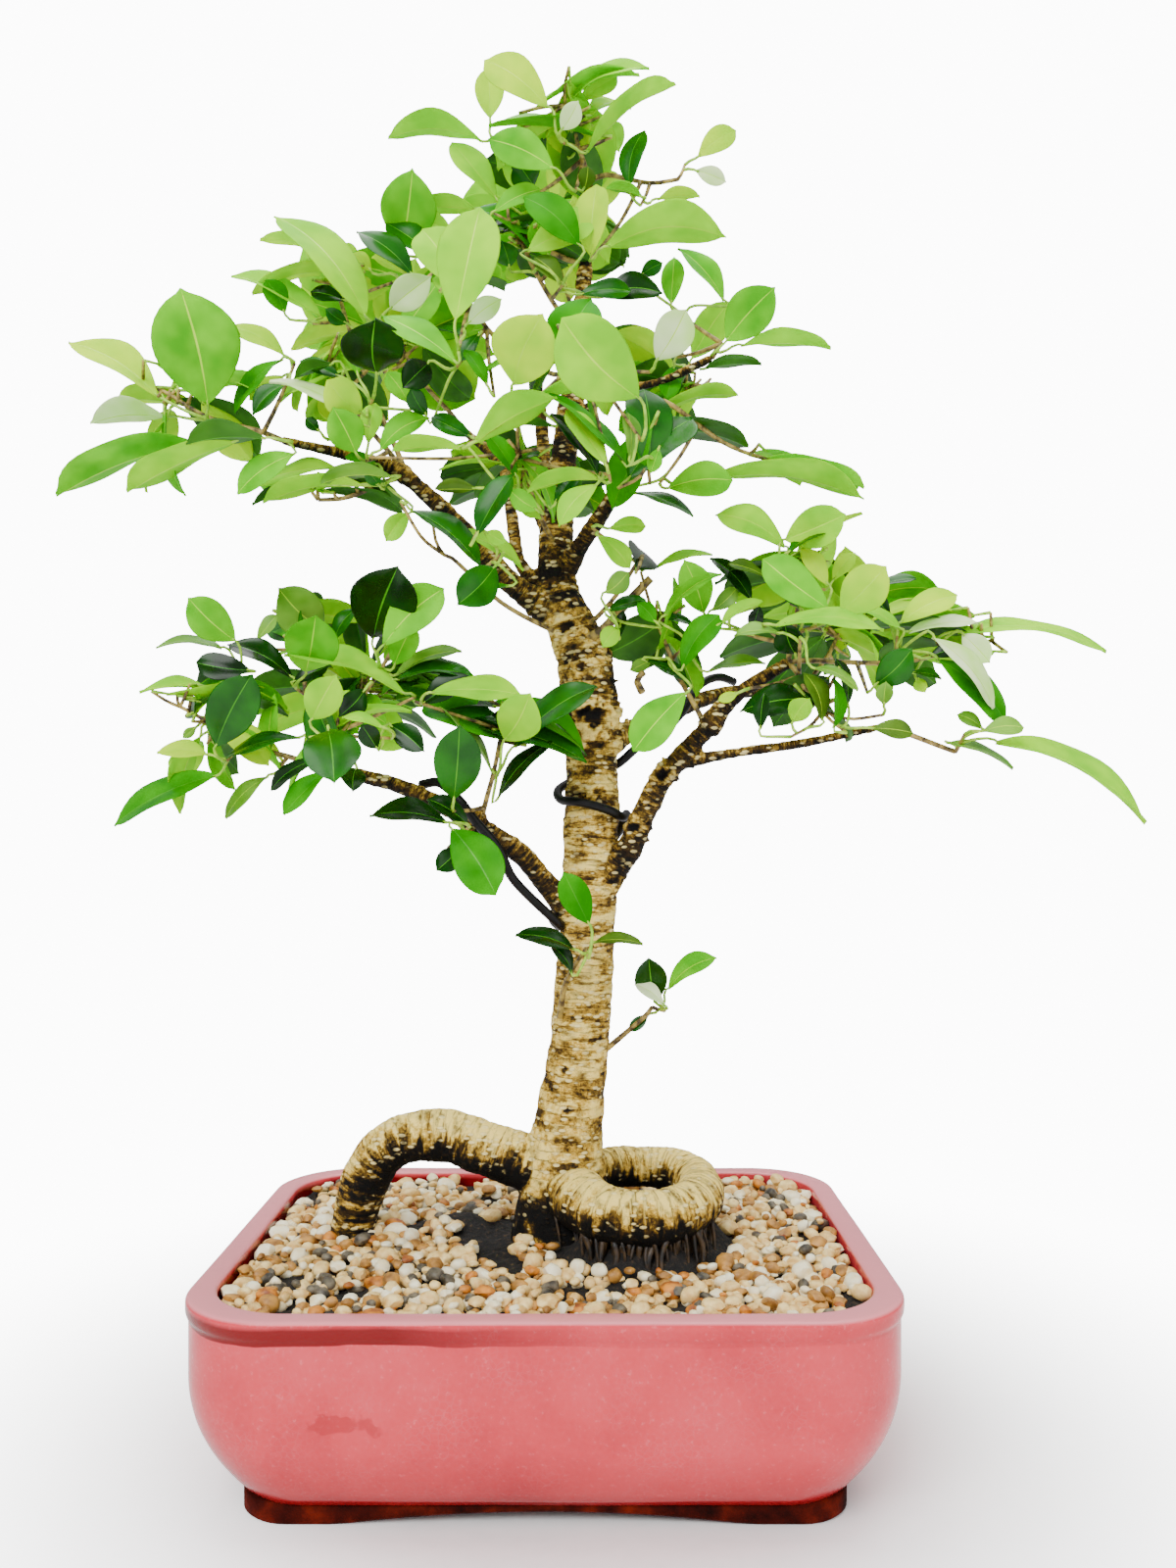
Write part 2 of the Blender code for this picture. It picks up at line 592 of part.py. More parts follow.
class Space:
    """The room that one mass of foliage keeps to, and the limbs and stems that it stays clear of."""

    def __init__(self, name, obstacles):
        self.centre = Vector(MASSES[name][2])
        self.sizes = Vector(MASSES[name][3])
        self.planes = cell_planes(name)
        reach = max(self.sizes) + 12.0
        self.obstacles = []
        for path in obstacles:
            near = [k for k, p in enumerate(path) if (Vector(p[:3]) - self.centre).length < reach]
            if near:
                self.obstacles.append(path[max(near[0] - 1, 0):near[-1] + 2])

    def holds(self, p, slack=1.0):
        offset = p - self.centre
        inside = sum((o / s) ** 2 for o, s in zip(offset, self.sizes)) <= slack
        return inside and all(offset.dot(normal) <= reach for normal, reach in self.planes)

    def edge(self, direction):
        """The furthest point of the room from its centre in a direction."""
        share = 1.0
        offset = Vector(d * s for d, s in zip(direction, self.sizes))
        for normal, reach in self.planes:
            along = offset.dot(normal)
            if along * share > reach:
                share = reach / along
        return self.centre + offset * share * 0.99

    def free(self, p, clearance=LIMB_CLEARANCE):
        return all(clear_of(path, p, clearance) for path in self.obstacles)


def spread_directions(wanted, least, fixed):
    """Turn directions that share a tip away from each other, and from the limbs that go on from it."""
    found = [d.normalized() for d in wanted]
    for _ in range(SPREAD_ROUNDS):
        for i in range(len(found)):
            rivals = [(other, least) for j, other in enumerate(found) if j != i] + fixed
            for other, apart in rivals:
                if found[i].angle(other) < apart:
                    away = found[i] - other * found[i].dot(other)
                    if away.length < 1e-4:
                        away = Vector((0.3, -0.2, 1.0)).cross(other)
                    found[i] = (found[i] + away.normalized() * SPREAD_STEP).normalized()
    return found


def onward_limbs(carrier, tip, radius, paths):
    """Directions kept free at a tip: back along the limb, and along each limb that goes on from it."""
    fixed = [(-tangent_at(paths[carrier], len(paths[carrier]) - 1), math.radians(88.0))]
    for name, (other, points, base, _) in BOUGHS.items():
        if other == carrier and (Vector(points[0]) - tip).length < 12.0:
            way = (Vector(points[1]) - Vector(points[0])).normalized()
            fixed.append((way, (base + 1.6 * STEM_RADIUS) / (radius + GAP)))
    return fixed


def limb_surface(limbs):
    """One search tree over the faces of every limb, in millimetres."""
    points, faces = [], []
    for limb in limbs:
        first = len(points)
        points += [v.co / MM for v in limb.data.vertices]
        faces += [[first + i for i in face.vertices] for face in limb.data.polygons]
    return BVHTree.FromPolygons(points, faces)


def seat(point, way, surface):
    """The nearest place along a way out of a limb where a stem's square end stays a gap clear of all."""
    _, across, normal = leaf_frame(way, 0.0)
    rim = [(across * math.cos(k * SEAT_TURN) + normal * math.sin(k * SEAT_TURN)) * STEM_RADIUS
           for k in range(SEAT_POINTS)]
    out = 0.0
    while out < 60.0:
        out += SEAT_STEP
        clear = True
        for offset in rim + [Vector()]:
            place = point + way * out + offset
            near, facing, _, distance = surface.find_nearest(place)
            if distance < GAP or (place - near).dot(facing) < 0.0:
                clear = False
        if clear:
            break
    return point + way * out


def stem_starts(paths, surface):
    """Where each mass's stem meets its bough or the trunk, and the way it sets off."""
    starts, sharing = {}, {}
    for name, (carrier, height, place, _, _) in MASSES.items():
        path = paths[carrier]
        row = path[-1] if height is None else radius_at_height(path, height)
        point, radius = Vector(row[:3]), row[3]
        along = tangent_at(path, len(path) - 1) if height is None else Vector((0.0, 0.0, 1.0))
        way = (Vector(place) - point).normalized()
        ahead = way.dot(along)
        if height is not None or ahead < 0.15:
            side = (way - along * ahead).normalized()
            way = (side + along * (0.0 if height is not None else 0.15)).normalized()
        sharing.setdefault((carrier, height), []).append((name, point, radius, way))
    for (carrier, height), group in sharing.items():
        point, radius = group[0][1:3]
        fixed = onward_limbs(carrier, point, radius, paths) if height is None else []
        ways = spread_directions([g[3] for g in group], 2.6 * STEM_RADIUS / (radius + GAP), fixed)
        for (name, _, _, _), way in zip(group, ways):
            starts[name] = (seat(point, way, surface), way)
    return starts


def stem_path(name, start, way, taken):
    """The stem leaves its carrier squarely and bends through its mass, bowed clear of what it passes."""
    centre, sizes = Vector(MASSES[name][2]), Vector(MASSES[name][3])
    distance = (centre - start).length
    lead = start + way * min(9.0, distance * 0.25)
    onward = (centre - lead).normalized()
    end = centre + Vector(o * s * 0.2 for o, s in zip(onward, sizes))
    _, across, normal = leaf_frame(onward, 0.0)
    for attempt in range(40):
        angle = attempt * GOLDEN_ANGLE
        bow = (across * math.cos(angle) + normal * math.sin(angle)) * (attempt * 0.6)
        middle = lead.lerp(centre, 0.55) + bow + Vector((0.0, 0.0, -0.06 * distance))
        path = smooth_path([start, lead, middle, centre + bow * 0.4, end + bow * 0.4],
                           max(12.0, distance / 4.0))
        steps = [Vector(a).lerp(Vector(b), k / 5) for a, b in zip(path, path[1:]) for k in range(6)]
        if all(clear_of(limb, p, 1.5 * STEM_RADIUS) for limb in taken for p in steps
               if (p - start).length > 6.0):
            break
    return [(*p, STEM_RADIUS + (SHOOT_RADIUS - STEM_RADIUS) * i / (len(path) - 1))
            for i, p in enumerate(path)]


def leaf_frame(direction, roll, faces=Vector((0.0, 0.0, 1.0))):
    """Axes of a leaf: along the blade, across it, and out of its upper face, which turns to the light."""
    along = direction.normalized()
    across = faces.cross(along)
    if across.length < 0.05:
        across = Vector((1.0, 0.0, 0.0)).cross(along)
    across = Matrix.Rotation(roll, 3, along) @ across.normalized()
    return along, across, along.cross(across)


def light_side(place):
    """The way that a leaf's upper face turns: up, and out from the middle of the crown."""
    outward = Vector((place.x - CROWN_AXIS[0], place.y - CROWN_AXIS[1], 0.0))
    return (outward.normalized() * OUTWARD_TURN + Vector((0.0, 0.0, 1.0))).normalized()


class Leaf:
    """A blade from its root on a shoot to its tip; the anchor is its end inside the shoot."""

    def __init__(self, root, anchor, direction, length, roll):
        self.root = root
        self.anchor = anchor
        self.length = length
        self.along, self.across, self.normal = leaf_frame(direction, roll, light_side(root))
        self.tip = root + self.along * length
        self.middle = root + self.along * (WIDEST_AT * length)
        self.half = self.across * (length * LEAF_WIDTH / 2)

    def outline(self):
        return [self.anchor, self.middle + self.half, self.tip, self.middle - self.half]

    def probes(self):
        """Points on the blade that have to stay clear of limbs."""
        outline = [self.root] + self.outline()[1:]
        edges = [a.lerp(b, k / 4) for a, b in zip(outline, outline[1:] + outline[:1]) for k in (1, 2, 3)]
        return outline[1:] + edges + [self.middle, self.middle.lerp(self.tip, 0.5)]


def crosses(start, end, corners):
    """True when the line from start to end passes through a flat four-sided outline."""
    way = end - start
    for a, b, c in ((corners[0], corners[1], corners[2]), (corners[0], corners[2], corners[3])):
        normal = (b - a).cross(c - a)
        slope = normal.dot(way)
        if abs(slope) < TINY:
            continue
        share = normal.dot(a - start) / slope
        if not 0.0 <= share <= 1.0:
            continue
        p = start + way * share
        if all(normal.dot((v - u).cross(p - u)) >= -0.6 * normal.length * (v - u).length
               for u, v in ((a, b), (b, c), (c, a))):
            return True
    return False


def blades_cross(one, other):
    first, second = one.outline(), other.outline()
    return any(crosses(a, b, second) for a, b in zip(first, first[1:] + first[:1])) or any(
        crosses(a, b, first) for a, b in zip(second, second[1:] + second[:1]))


def leaf_fits(leaf, space, twigs, leaves):
    """A leaf stays in its room, off every limb, and crosses no other leaf or shoot of its mass."""
    if not all(space.holds(p, 1.04) for p in leaf.outline()[1:]):
        return False
    if not all(space.free(p) for p in leaf.probes()):
        return False
    if any(crosses(Vector(a[:3]), Vector(b[:3]), leaf.outline())
           for path in space.obstacles for a, b in zip(path, path[1:])):
        return False
    if any(blades_cross(leaf, other) for other in leaves):
        return False
    outline = [leaf.root] + leaf.outline()[1:]
    return not any(crosses(a, b, outline) for twig in twigs for a, b in zip(twig, twig[1:]))


def shoot_fits(shoot, space, twigs, leaves):
    start, end = shoot
    steps = [start.lerp(end, k / 6) for k in range(7)]
    if not space.holds(end) or not all(space.free(p, SHOOT_RADIUS + GAP) for p in steps):
        return False
    return not any(crosses(start.lerp(end, 0.15), end, leaf.outline()) for leaf in leaves)


def aims(name, rng):
    """Directions from the middle of a mass: outward first, then evenly all round, few from below."""
    centre = Vector(MASSES[name][2])
    outward = Vector((centre.x - CROWN_AXIS[0], centre.y, 0.0))
    outward = outward.normalized() if outward.length > 20.0 else Vector((0.0, 0.0, 1.0))
    for lift in (-0.25, 0.55):
        yield (outward + Vector((0.0, 0.0, lift))).normalized()
    turn = rng.uniform(0.0, math.tau)
    for i in range(MASSES[name][4] * 8):
        height = 1.0 - 1.75 * ((i * 0.618034 + 0.31) % 1.0)
        ring = math.sqrt(max(0.0, 1.0 - height * height))
        angle = turn + i * GOLDEN_ANGLE
        yield Vector((ring * math.cos(angle), ring * math.sin(angle), height))


def side_leaf(shoot, place, way_round, space, twigs, leaves, rng):
    """A leaf part way along a shoot, turned round it until one place is free."""
    start, end = shoot
    onward = (end - start).normalized()
    root = start.lerp(end, place)
    _, across, normal = leaf_frame(onward, 0.0)
    for attempt in range(7):
        swing = way_round + attempt * 0.9
        side = across * math.cos(swing) + normal * math.sin(swing)
        way = onward * 0.7 + side + Vector((0.0, 0.0, rng.uniform(-0.25, 0.2)))
        length = rng.uniform(*LEAF_LENGTH) * 0.92
        leaf = Leaf(root, root - onward * LEAF_SINK, way, length, rng.uniform(-0.4, 0.4))
        if leaf_fits(leaf, space, [t for t in twigs if t is not shoot], leaves):
            return leaf
    return None


def grow_mass(name, stem, obstacles):
    """Shoots and leaves of one mass: each shoot aims at a point on the edge of the mass's room."""
    leaves_wanted = MASSES[name][4]
    rng = random.Random(f"{SEED}-{name}")
    space = Space(name, obstacles)
    nodes = [Vector(p[:3]) for p in stem]
    inner = [k for k, p in enumerate(nodes) if k > 1 and space.holds(p)] or [len(nodes) - 2]
    lines, leaves, shoots, side_leaves = [], [], [], []
    for aim in aims(name, rng):
        if len(leaves) >= leaves_wanted:
            break
        edge = space.edge(aim)
        k = min(inner, key=lambda k: (nodes[k] - edge).length + rng.uniform(0.0, 10.0))
        start = nodes[k - 1].lerp(nodes[k], rng.uniform(0.2, 0.8))
        reach = edge - start
        if reach.length < 18.0:
            continue
        length = min(rng.uniform(*LEAF_LENGTH), reach.length * 0.84)
        droop = Vector((0.0, 0.0, rng.uniform(-0.3, 0.2)))
        direction = (reach.normalized() + droop).normalized()
        end = edge - direction * length
        shoot = (start, end)
        if (end - start).length < 4.0 or not shoot_fits(shoot, space, [nodes], leaves):
            continue
        leaf = Leaf(end, end, direction, length, rng.uniform(-0.5, 0.5))
        if not leaf_fits(leaf, space, [nodes] + lines, leaves):
            continue
        lines.append(shoot)
        shoots.append((start, leaf))
        leaves.append(leaf)
        way_round = rng.uniform(0.0, math.tau)
        for place in SIDE_PLACES:
            if len(leaves) < leaves_wanted and (end - start).length > 10.0:
                extra = side_leaf(shoot, place, way_round + place * 5.0, space, [nodes] + lines, leaves, rng)
                if extra:
                    leaves.append(extra)
                    side_leaves.append(extra)
    return shoots, side_leaves


def add_twig(bm, points, radii):
    """A three-sided twig with capped ends."""
    rows = []
    for i, (point, radius) in enumerate(zip(points, radii)):
        before, after = points[max(i - 1, 0)], points[min(i + 1, len(points) - 1)]
        _, across, normal = leaf_frame(after - before, 0.0)
        row = []
        for k in range(3):
            angle = math.tau * k / 3 + 0.3
            row.append(bm.verts.new(point + (across * math.cos(angle) + normal * math.sin(angle)) * radius))
        rows.append(row)
    for low, high in zip(rows, rows[1:]):
        for i in range(3):
            j = (i + 1) % 3
            bm.faces.new((low[i], low[j], high[j], high[i]))
    bm.faces.new(rows[0])
    bm.faces.new(rows[-1])


def blade_ring(bm, leaf):
    """The blade's widest ring: right edge, upper crown, left edge, lower crown."""
    thick = leaf.normal * (LEAF_THICKNESS / 2)
    return [bm.verts.new(leaf.middle + offset) for offset in (leaf.half, thick, -leaf.half, -thick)]


def close_tip(bm, leaf, ring):
    tip = bm.verts.new(leaf.tip)
    for i in range(4):
        bm.faces.new((tip, ring[i], ring[(i + 1) % 4]))


def add_leaf(bm, leaf):
    """A blade of eight faces, rooted at its anchor inside the shoot."""
    ring = blade_ring(bm, leaf)
    anchor = bm.verts.new(leaf.anchor)
    for i in range(4):
        bm.faces.new((anchor, ring[i], ring[(i + 1) % 4]))
    close_tip(bm, leaf, ring)


def add_shoot(bm, start, leaf):
    """A three-sided shoot from inside the stem that runs out into the blade of its end leaf."""
    rows = []
    for point, radius in ((start, SHOOT_ROOT_RADIUS), (leaf.root, SHOOT_RADIUS)):
        corners = (leaf.across, -leaf.across, -leaf.normal)
        rows.append([bm.verts.new(point + corner * radius) for corner in corners])
    for i in range(3):
        j = (i + 1) % 3
        bm.faces.new((rows[0][i], rows[0][j], rows[1][j], rows[1][i]))
    bm.faces.new(rows[0])
    right, left, under = rows[1]
    edge_right, crown, edge_left, keel = blade_ring(bm, leaf)
    for face in ((right, edge_right, crown), (right, crown, left), (left, crown, edge_left),
                 (left, edge_left, under), (under, edge_left, keel), (under, keel, right),
                 (right, keel, edge_right)):
        bm.faces.new(face)
    close_tip(bm, leaf, [edge_right, crown, edge_left, keel])


def face_bodies(bm):
    """Groups of faces that meet along ordinary edges."""
    unseen, bodies = set(bm.faces), []
    while unseen:
        body, edge = [], [unseen.pop()]
        while edge:
            face = edge.pop()
            body.append(face)
            for link in face.edges:
                for other in link.link_faces if len(link.link_faces) == 2 else ():
                    if other in unseen:
                        unseen.remove(other)
                        edge.append(other)
        bodies.append(body)
    return sorted(bodies, key=len, reverse=True)


def is_whole(mesh):
    """One closed body with no edge shorter than a sliver; scraps that the union left loose are dropped."""
    bm = bmesh.new()
    bm.from_mesh(mesh)
    bmesh.ops.triangulate(bm, faces=bm.faces)
    scraps = [face for body in face_bodies(bm)[1:] for face in body]
    small = len(scraps) <= MOST_SCRAP_FACES
    bmesh.ops.delete(bm, geom=scraps, context="FACES")
    closed = all(len(edge.link_faces) == 2 for edge in bm.edges)
    fine = all(edge.calc_length() > SLIVER for edge in bm.edges)
    single = len(face_bodies(bm)) == 1 and bm.calc_volume() > 0.0
    bm.to_mesh(mesh)
    bm.free()
    return small and closed and fine and single


def fuse_mass(name, stem, pieces, collection, mat, solver):
    """One solid: the stem with every shoot and leaf fused on by one Boolean union."""
    parts = new_collection(name + "_parts")
    bm = bmesh.new()
    add_twig(bm, [Vector(p[:3]) for p in stem], [p[3] for p in stem])
    mass = mesh_object(name, bm, collection, mat)
    for i, (start, leaf) in enumerate(pieces):
        bm = bmesh.new()
        if start:
            add_shoot(bm, start, leaf)
        else:
            add_leaf(bm, leaf)
        mesh_object(f"{name}_piece_{i}", bm, parts)
    union = mass.modifiers.new("fuse", "BOOLEAN")
    union.operation = "UNION"
    union.operand_type = "COLLECTION"
    union.collection = parts
    union.solver = solver
    apply_modifiers(mass)
    drop(parts.objects)
    bpy.data.collections.remove(parts)
    return mass


def make_mass(name, stem, shoots, leaves, collection, mat):
    """Fuse a mass; where it isn't one clean body, the leaf that spoils it is left off."""
    pieces = shoots + [(None, leaf) for leaf in leaves]
    while True:
        for left_off in [len(pieces)] + list(reversed(range(len(pieces)))):
            kept = pieces[:left_off] + pieces[left_off + 1:]
            for solver in ("MANIFOLD", "EXACT"):
                mass = fuse_mass(name, stem, kept, collection, mat, solver)
                if is_whole(mass.data):
                    return mass
                drop([mass])
        pieces = pieces[:-1]


def make_foliage(collection, mat, paths, wire):
    limbs = list(paths.values()) + [wire]
    stems = {}
    surface = limb_surface([collection.objects[name] for name in paths])
    for name, (start, way) in stem_starts(paths, surface).items():
        stems[name] = stem_path(name, start, way, limbs + list(stems.values()))
    for name, stem in stems.items():
        others = [path for other, path in stems.items() if other != name]
        shoots, side_leaves = grow_mass(name, stem, limbs + others)
        make_mass(name, stem, shoots, side_leaves, collection, mat)


# ---------------------------------------------------------------- assembly

def ground_block(cutters):
    """Everything below the flat cut at the gravel's surface."""
    bpy.ops.mesh.primitive_cube_add(size=1.0, location=(0.0, 0.0, (GRAVEL_LEVEL + GAP - 50.0) * MM))
    block = bpy.context.object
    block.name = "below_ground"
    block.scale = (0.5, 0.5, 0.1)
    block.hide_render = True
    block.display_type = "WIRE"
    for collection in list(block.users_collection):
        collection.objects.unlink(block)
    cutters.objects.link(block)
    return block


def main():
    for obj in list(bpy.data.objects):
        bpy.data.objects.remove(obj)
    bonsai = new_collection("ficus_bonsai")
    cutters = new_collection("cutters")

    glaze = material("rose glaze", (0.70, 0.17, 0.20), 0.18)
    clay = material("unglazed clay", (0.16, 0.015, 0.008), 0.7)
    earth = material("potting soil", (0.02, 0.013, 0.008), 0.95)
    stones = material("river gravel", (0.60, 0.48, 0.32), 0.7)
    bark = material("ficus bark", (0.48, 0.37, 0.17), 0.8)
    leaf = material("ficus leaf", (0.13, 0.42, 0.02), 0.35)
    steel = material("black annealed wire", (0.01, 0.01, 0.01), 0.4, 0.6)

    make_pot(bonsai, glaze)
    make_foot(bonsai, clay)
    make_fill("soil", FOOT_HEIGHT + FLOOR_THICKNESS + GAP, SOIL_LEVEL, bonsai, earth)
    make_gravel(bonsai, cutters, stones)

    ground = ground_block(cutters)
    trunk_path = smooth_path(TRUNK, TRUNK_STEP)
    trunk = limb_mesh("trunk", domed(trunk_path), bonsai, TRUNK_SIDES, bark)
    cut(trunk, ground)
    trunk_cutter = limb_mesh("trunk_cutter", trunk_path, cutters, TRUNK_SIDES, grow=GAP)
    paths = {"trunk": trunk_path}
    paths.update(make_roots(bonsai, bark, trunk_cutter, ground))
    drop([trunk_cutter, ground])
    make_boughs(bonsai, cutters, bark, paths)
    wire = make_wire(bonsai, steel, trunk_path)
    make_foliage(bonsai, leaf, paths, wire)

    frame = bpy.data.objects.new("bonsai_frame", None)
    frame.location = (-BOX_CENTRE[0] * MM, -BOX_CENTRE[1] * MM, 0.0)
    bonsai.objects.link(frame)
    for obj in bonsai.objects:
        if obj != frame:
            obj.parent = frame


main()
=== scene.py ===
"""The looks of a potted ficus bonsai: glazed pot, gravel, bark, training wire, twigs and leaves.

Sizes and places are in millimetres, measured from the middle of the pot on the surface that it
stands on, +Z up and +Y to the back, unless a name says otherwise. place() turns them into the
frame's metres. The file is laid out as an add-on: settings, one operator for each group of pieces,
and a panel that lists them.
"""

import math
import random

import bmesh
import bpy
import numpy as np
from bpy.props import FloatProperty, FloatVectorProperty, IntProperty, PointerProperty
from mathutils import Matrix, Vector, noise


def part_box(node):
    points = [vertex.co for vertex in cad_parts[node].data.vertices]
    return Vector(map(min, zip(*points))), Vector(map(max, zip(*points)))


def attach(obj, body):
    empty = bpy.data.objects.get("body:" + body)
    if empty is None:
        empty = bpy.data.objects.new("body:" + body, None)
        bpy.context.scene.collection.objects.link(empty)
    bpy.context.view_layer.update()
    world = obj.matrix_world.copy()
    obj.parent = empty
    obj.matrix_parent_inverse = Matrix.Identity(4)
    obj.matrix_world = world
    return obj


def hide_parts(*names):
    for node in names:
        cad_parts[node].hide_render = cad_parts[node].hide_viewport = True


bl_info = {
    "name": "Ficus bonsai",
    "version": (1, 0, 0),
    "blender": (4, 5, 0),
    "location": "3D View > Sidebar > Bonsai",
    "description": "Dresses a potted ficus bonsai with glaze, gravel, bark, wire and leaves",
    "category": "Add Mesh",
}

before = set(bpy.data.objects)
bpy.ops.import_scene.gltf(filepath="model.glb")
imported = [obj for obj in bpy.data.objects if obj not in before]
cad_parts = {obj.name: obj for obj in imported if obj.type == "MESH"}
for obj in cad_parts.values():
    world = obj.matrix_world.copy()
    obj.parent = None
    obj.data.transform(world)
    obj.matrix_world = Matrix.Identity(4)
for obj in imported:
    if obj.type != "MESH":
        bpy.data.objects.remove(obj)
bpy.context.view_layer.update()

MM = 0.001
GOLDEN_ANGLE = math.pi * (3.0 - math.sqrt(5.0))
UP = Vector((0.0, 0.0, 1.0))
POT_LOW, POT_HIGH = (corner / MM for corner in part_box("pot_body"))
MIDDLE = (POT_LOW + POT_HIGH) / 2.0      # of the pot, in the frame's millimetres

# Pot, from the frame's box and the wall's make-up
POT_HALF_WIDTH = (POT_HIGH.x - POT_LOW.x) / 2.0
POT_HALF_DEPTH = (POT_HIGH.y - POT_LOW.y) / 2.0
RIM_HEIGHT = POT_HIGH.z
FOOT_HEIGHT = POT_LOW.z
POT_CORNER = 36.0
LIP_WIDTH = 10.0
LIP_HEIGHT = 8.0
WALL = 8.0
FLOOR_THICKNESS = 9.0
TUCK_SHARE = 0.62                       # share of the wall's height over which it tucks in
TUCK_DEPTH = 17.5
TUCK_CURVE = 2.1
FOOT_INSET = 20.0
FOOT_RING_WIDTH = 14.0
FOOT_CORNER = 18.0
ARCH_HEIGHT = 4.5
ARCH_REACH = 0.66
GLAZE_RUN = (-68.0, -100.0, 43.0)       # middle of a darker run in the glaze, and its half sizes
GLAZE_RUN_SIZE = (40.0, 60.0, 8.5)
GLAZE_WAVER = 4.0                       # how far the edges of the glaze's bands wander
LOW_DARKENING_HEIGHT = 26.0                       # height above the foot over which the glaze darkens towards the foot
GLAZE_BAND = (8.5, 2.0)                 # reach of the lip's pooled band, below and above the rim
GLAZE_POOL = -70.0                      # how far to the left the band comes to its full depth
GRAVEL_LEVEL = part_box("gravel_dressing")[1].z / MM

# Trunk stations: x, y, z, radius
TRUNK = [
    (5, 0, 62, 21.5), (5, 0, 80, 21.5), (6, 0, 100, 18.0), (7, 0, 122, 14.6), (11, 0, 150, 12.8),
    (15, 0, 200, 11.8), (17, 0, 250, 11.6), (17, 2, 276, 10.9), (16, 1, 298, 12.2),
    (14, 0, 316, 11.2), (8, 0, 332, 10.0), (2, 3, 352, 8.2), (4, 6, 390, 6.2), (10, 8, 438, 5.0),
    (13, 8, 468, 3.6), (15, 6, 496, 2.6), (16, 4, 518, 1.8),
]

# Limbs: carrier, points from inside the carrier to the tip, radius at the base and at the tip
BOUGHS = {
    "left_bough": ("trunk", [(14, 0, 208), (-1, -8, 223), (-12, -14, 236), (-28, -18, 247)], 4.9, 4.0),
    "left_bough_outer": (
        "left_bough", [(-28, -18, 247), (-42, -20, 255), (-66, -19, 265), (-95, -15, 271)], 4.0, 2.4),
    "right_bough": (
        "trunk", [(15, 0, 218), (32, -8, 238), (39, -12, 254), (47, -16, 268), (63, -20, 286)], 6.2, 3.6),
    "right_upper_branch": ("right_bough", [(63, -20, 286), (74, -22, 299), (95, -25, 312)], 3.6, 2.6),
    "right_low_branch": (
        "right_bough", [(52, -17, 273), (78, -22, 277), (101, -27, 280), (130, -32, 286)], 2.2, 1.5),
    "rear_right_bough": (
        "trunk", [(17, 2, 278), (33, 12, 288), (47, 22, 294), (64, 36, 303), (88, 50, 309), (115, 58, 310)],
        4.8, 2.7),
    "crown_left_bough": (
        "trunk", [(6, 0, 333), (-13, -6, 345), (-22, -10, 353), (-39, -18, 371), (-57, -22, 387)], 5.4, 3.0),
    "crown_left_branch": ("crown_left_bough", [(-57, -22, 387), (-68, -24, 392), (-105, -30, 399)], 2.6, 1.6),
    "crown_inner_left": (
        "trunk", [(4, 2, 342), (-12, 5, 356), (-16, 9, 373), (-22, 18, 413)], 3.1, 1.9),
    "twin_stem": ("trunk", [(4, 4, 372), (-2, -7, 388), (-3, -9, 405), (-5, -14, 429)], 3.0, 2.2),
    "crown_right_bough": (
        "trunk", [(3, 2, 350), (14, -9, 365), (27, -18, 382), (36, -25, 401), (38, -28, 414)], 3.8, 2.4),
    "crown_right_branch": ("trunk", [(9, 8, 418), (24, 0, 427), (46, -8, 430), (66, -12, 438)], 2.1, 1.6),
    "crown_rear_bough": ("trunk", [(5, 6, 394), (9, 28, 416), (17, 52, 438), (20, 68, 456)], 3.1, 2.1),
    "crown_rear_left": ("trunk", [(2, 4, 362), (-10, 27, 391), (-27, 46, 414), (-42, 58, 430)], 2.9, 2.0),
}
ROOT_ARCH = [(3, 0, 102), (-25, 2, 112), (-42, 4, 117), (-57, 4, 117), (-70, 5, 111), (-78, 6, 100),
             (-82, 7, 86), (-85, 8, 66)]
ROOT_ARCH_RADII = (12.2, 9.0)
ROOT_LOOP = [(6, -6, 98), (17, -27, 96), (31, -34, 94), (46, -32, 94), (58, -19, 95), (62, -1, 97),
             (56, 15, 99), (43, 21, 100), (28, 17, 101), (12, 5, 102)]
ROOT_LOOP_RADII = (12.0, 8.0)
ROOT_NODES = ("left_root_arch", "left_root_leg", "right_root_front", "right_root_bend", "right_root_back")

# Training wire: over the left bough, round the trunk, then along the rear right bough. A turn is in
# degrees from the right-hand side, counted towards the back, with its height.
WIRE_OVER_LEFT = [(-52, -15, 264), (-44, -21, 264.5), (-36, -27, 258), (-29, -27.5, 249), (-20, -24, 238),
                  (-14, -17, 225)]
WIRE_TURNS = [(218, 207), (180, 209), (135, 218), (90, 230), (45, 243), (8, 252), (-30, 251), (-65, 254),
              (-110, 257), (-150, 258), (-185, 262), (-230, 266), (-280, 270), (-325, 274)]
WIRE_ALONG_REAR = [(40, 10, 284), (50, 16, 290), (57, 21.5, 298), (62, 27.5, 306.5), (68, 36, 312),
                   (75, 44, 314.5), (82, 53, 313.5)]
WIRE_RADIUS = 1.9
WIRE_SLACK = 1.1

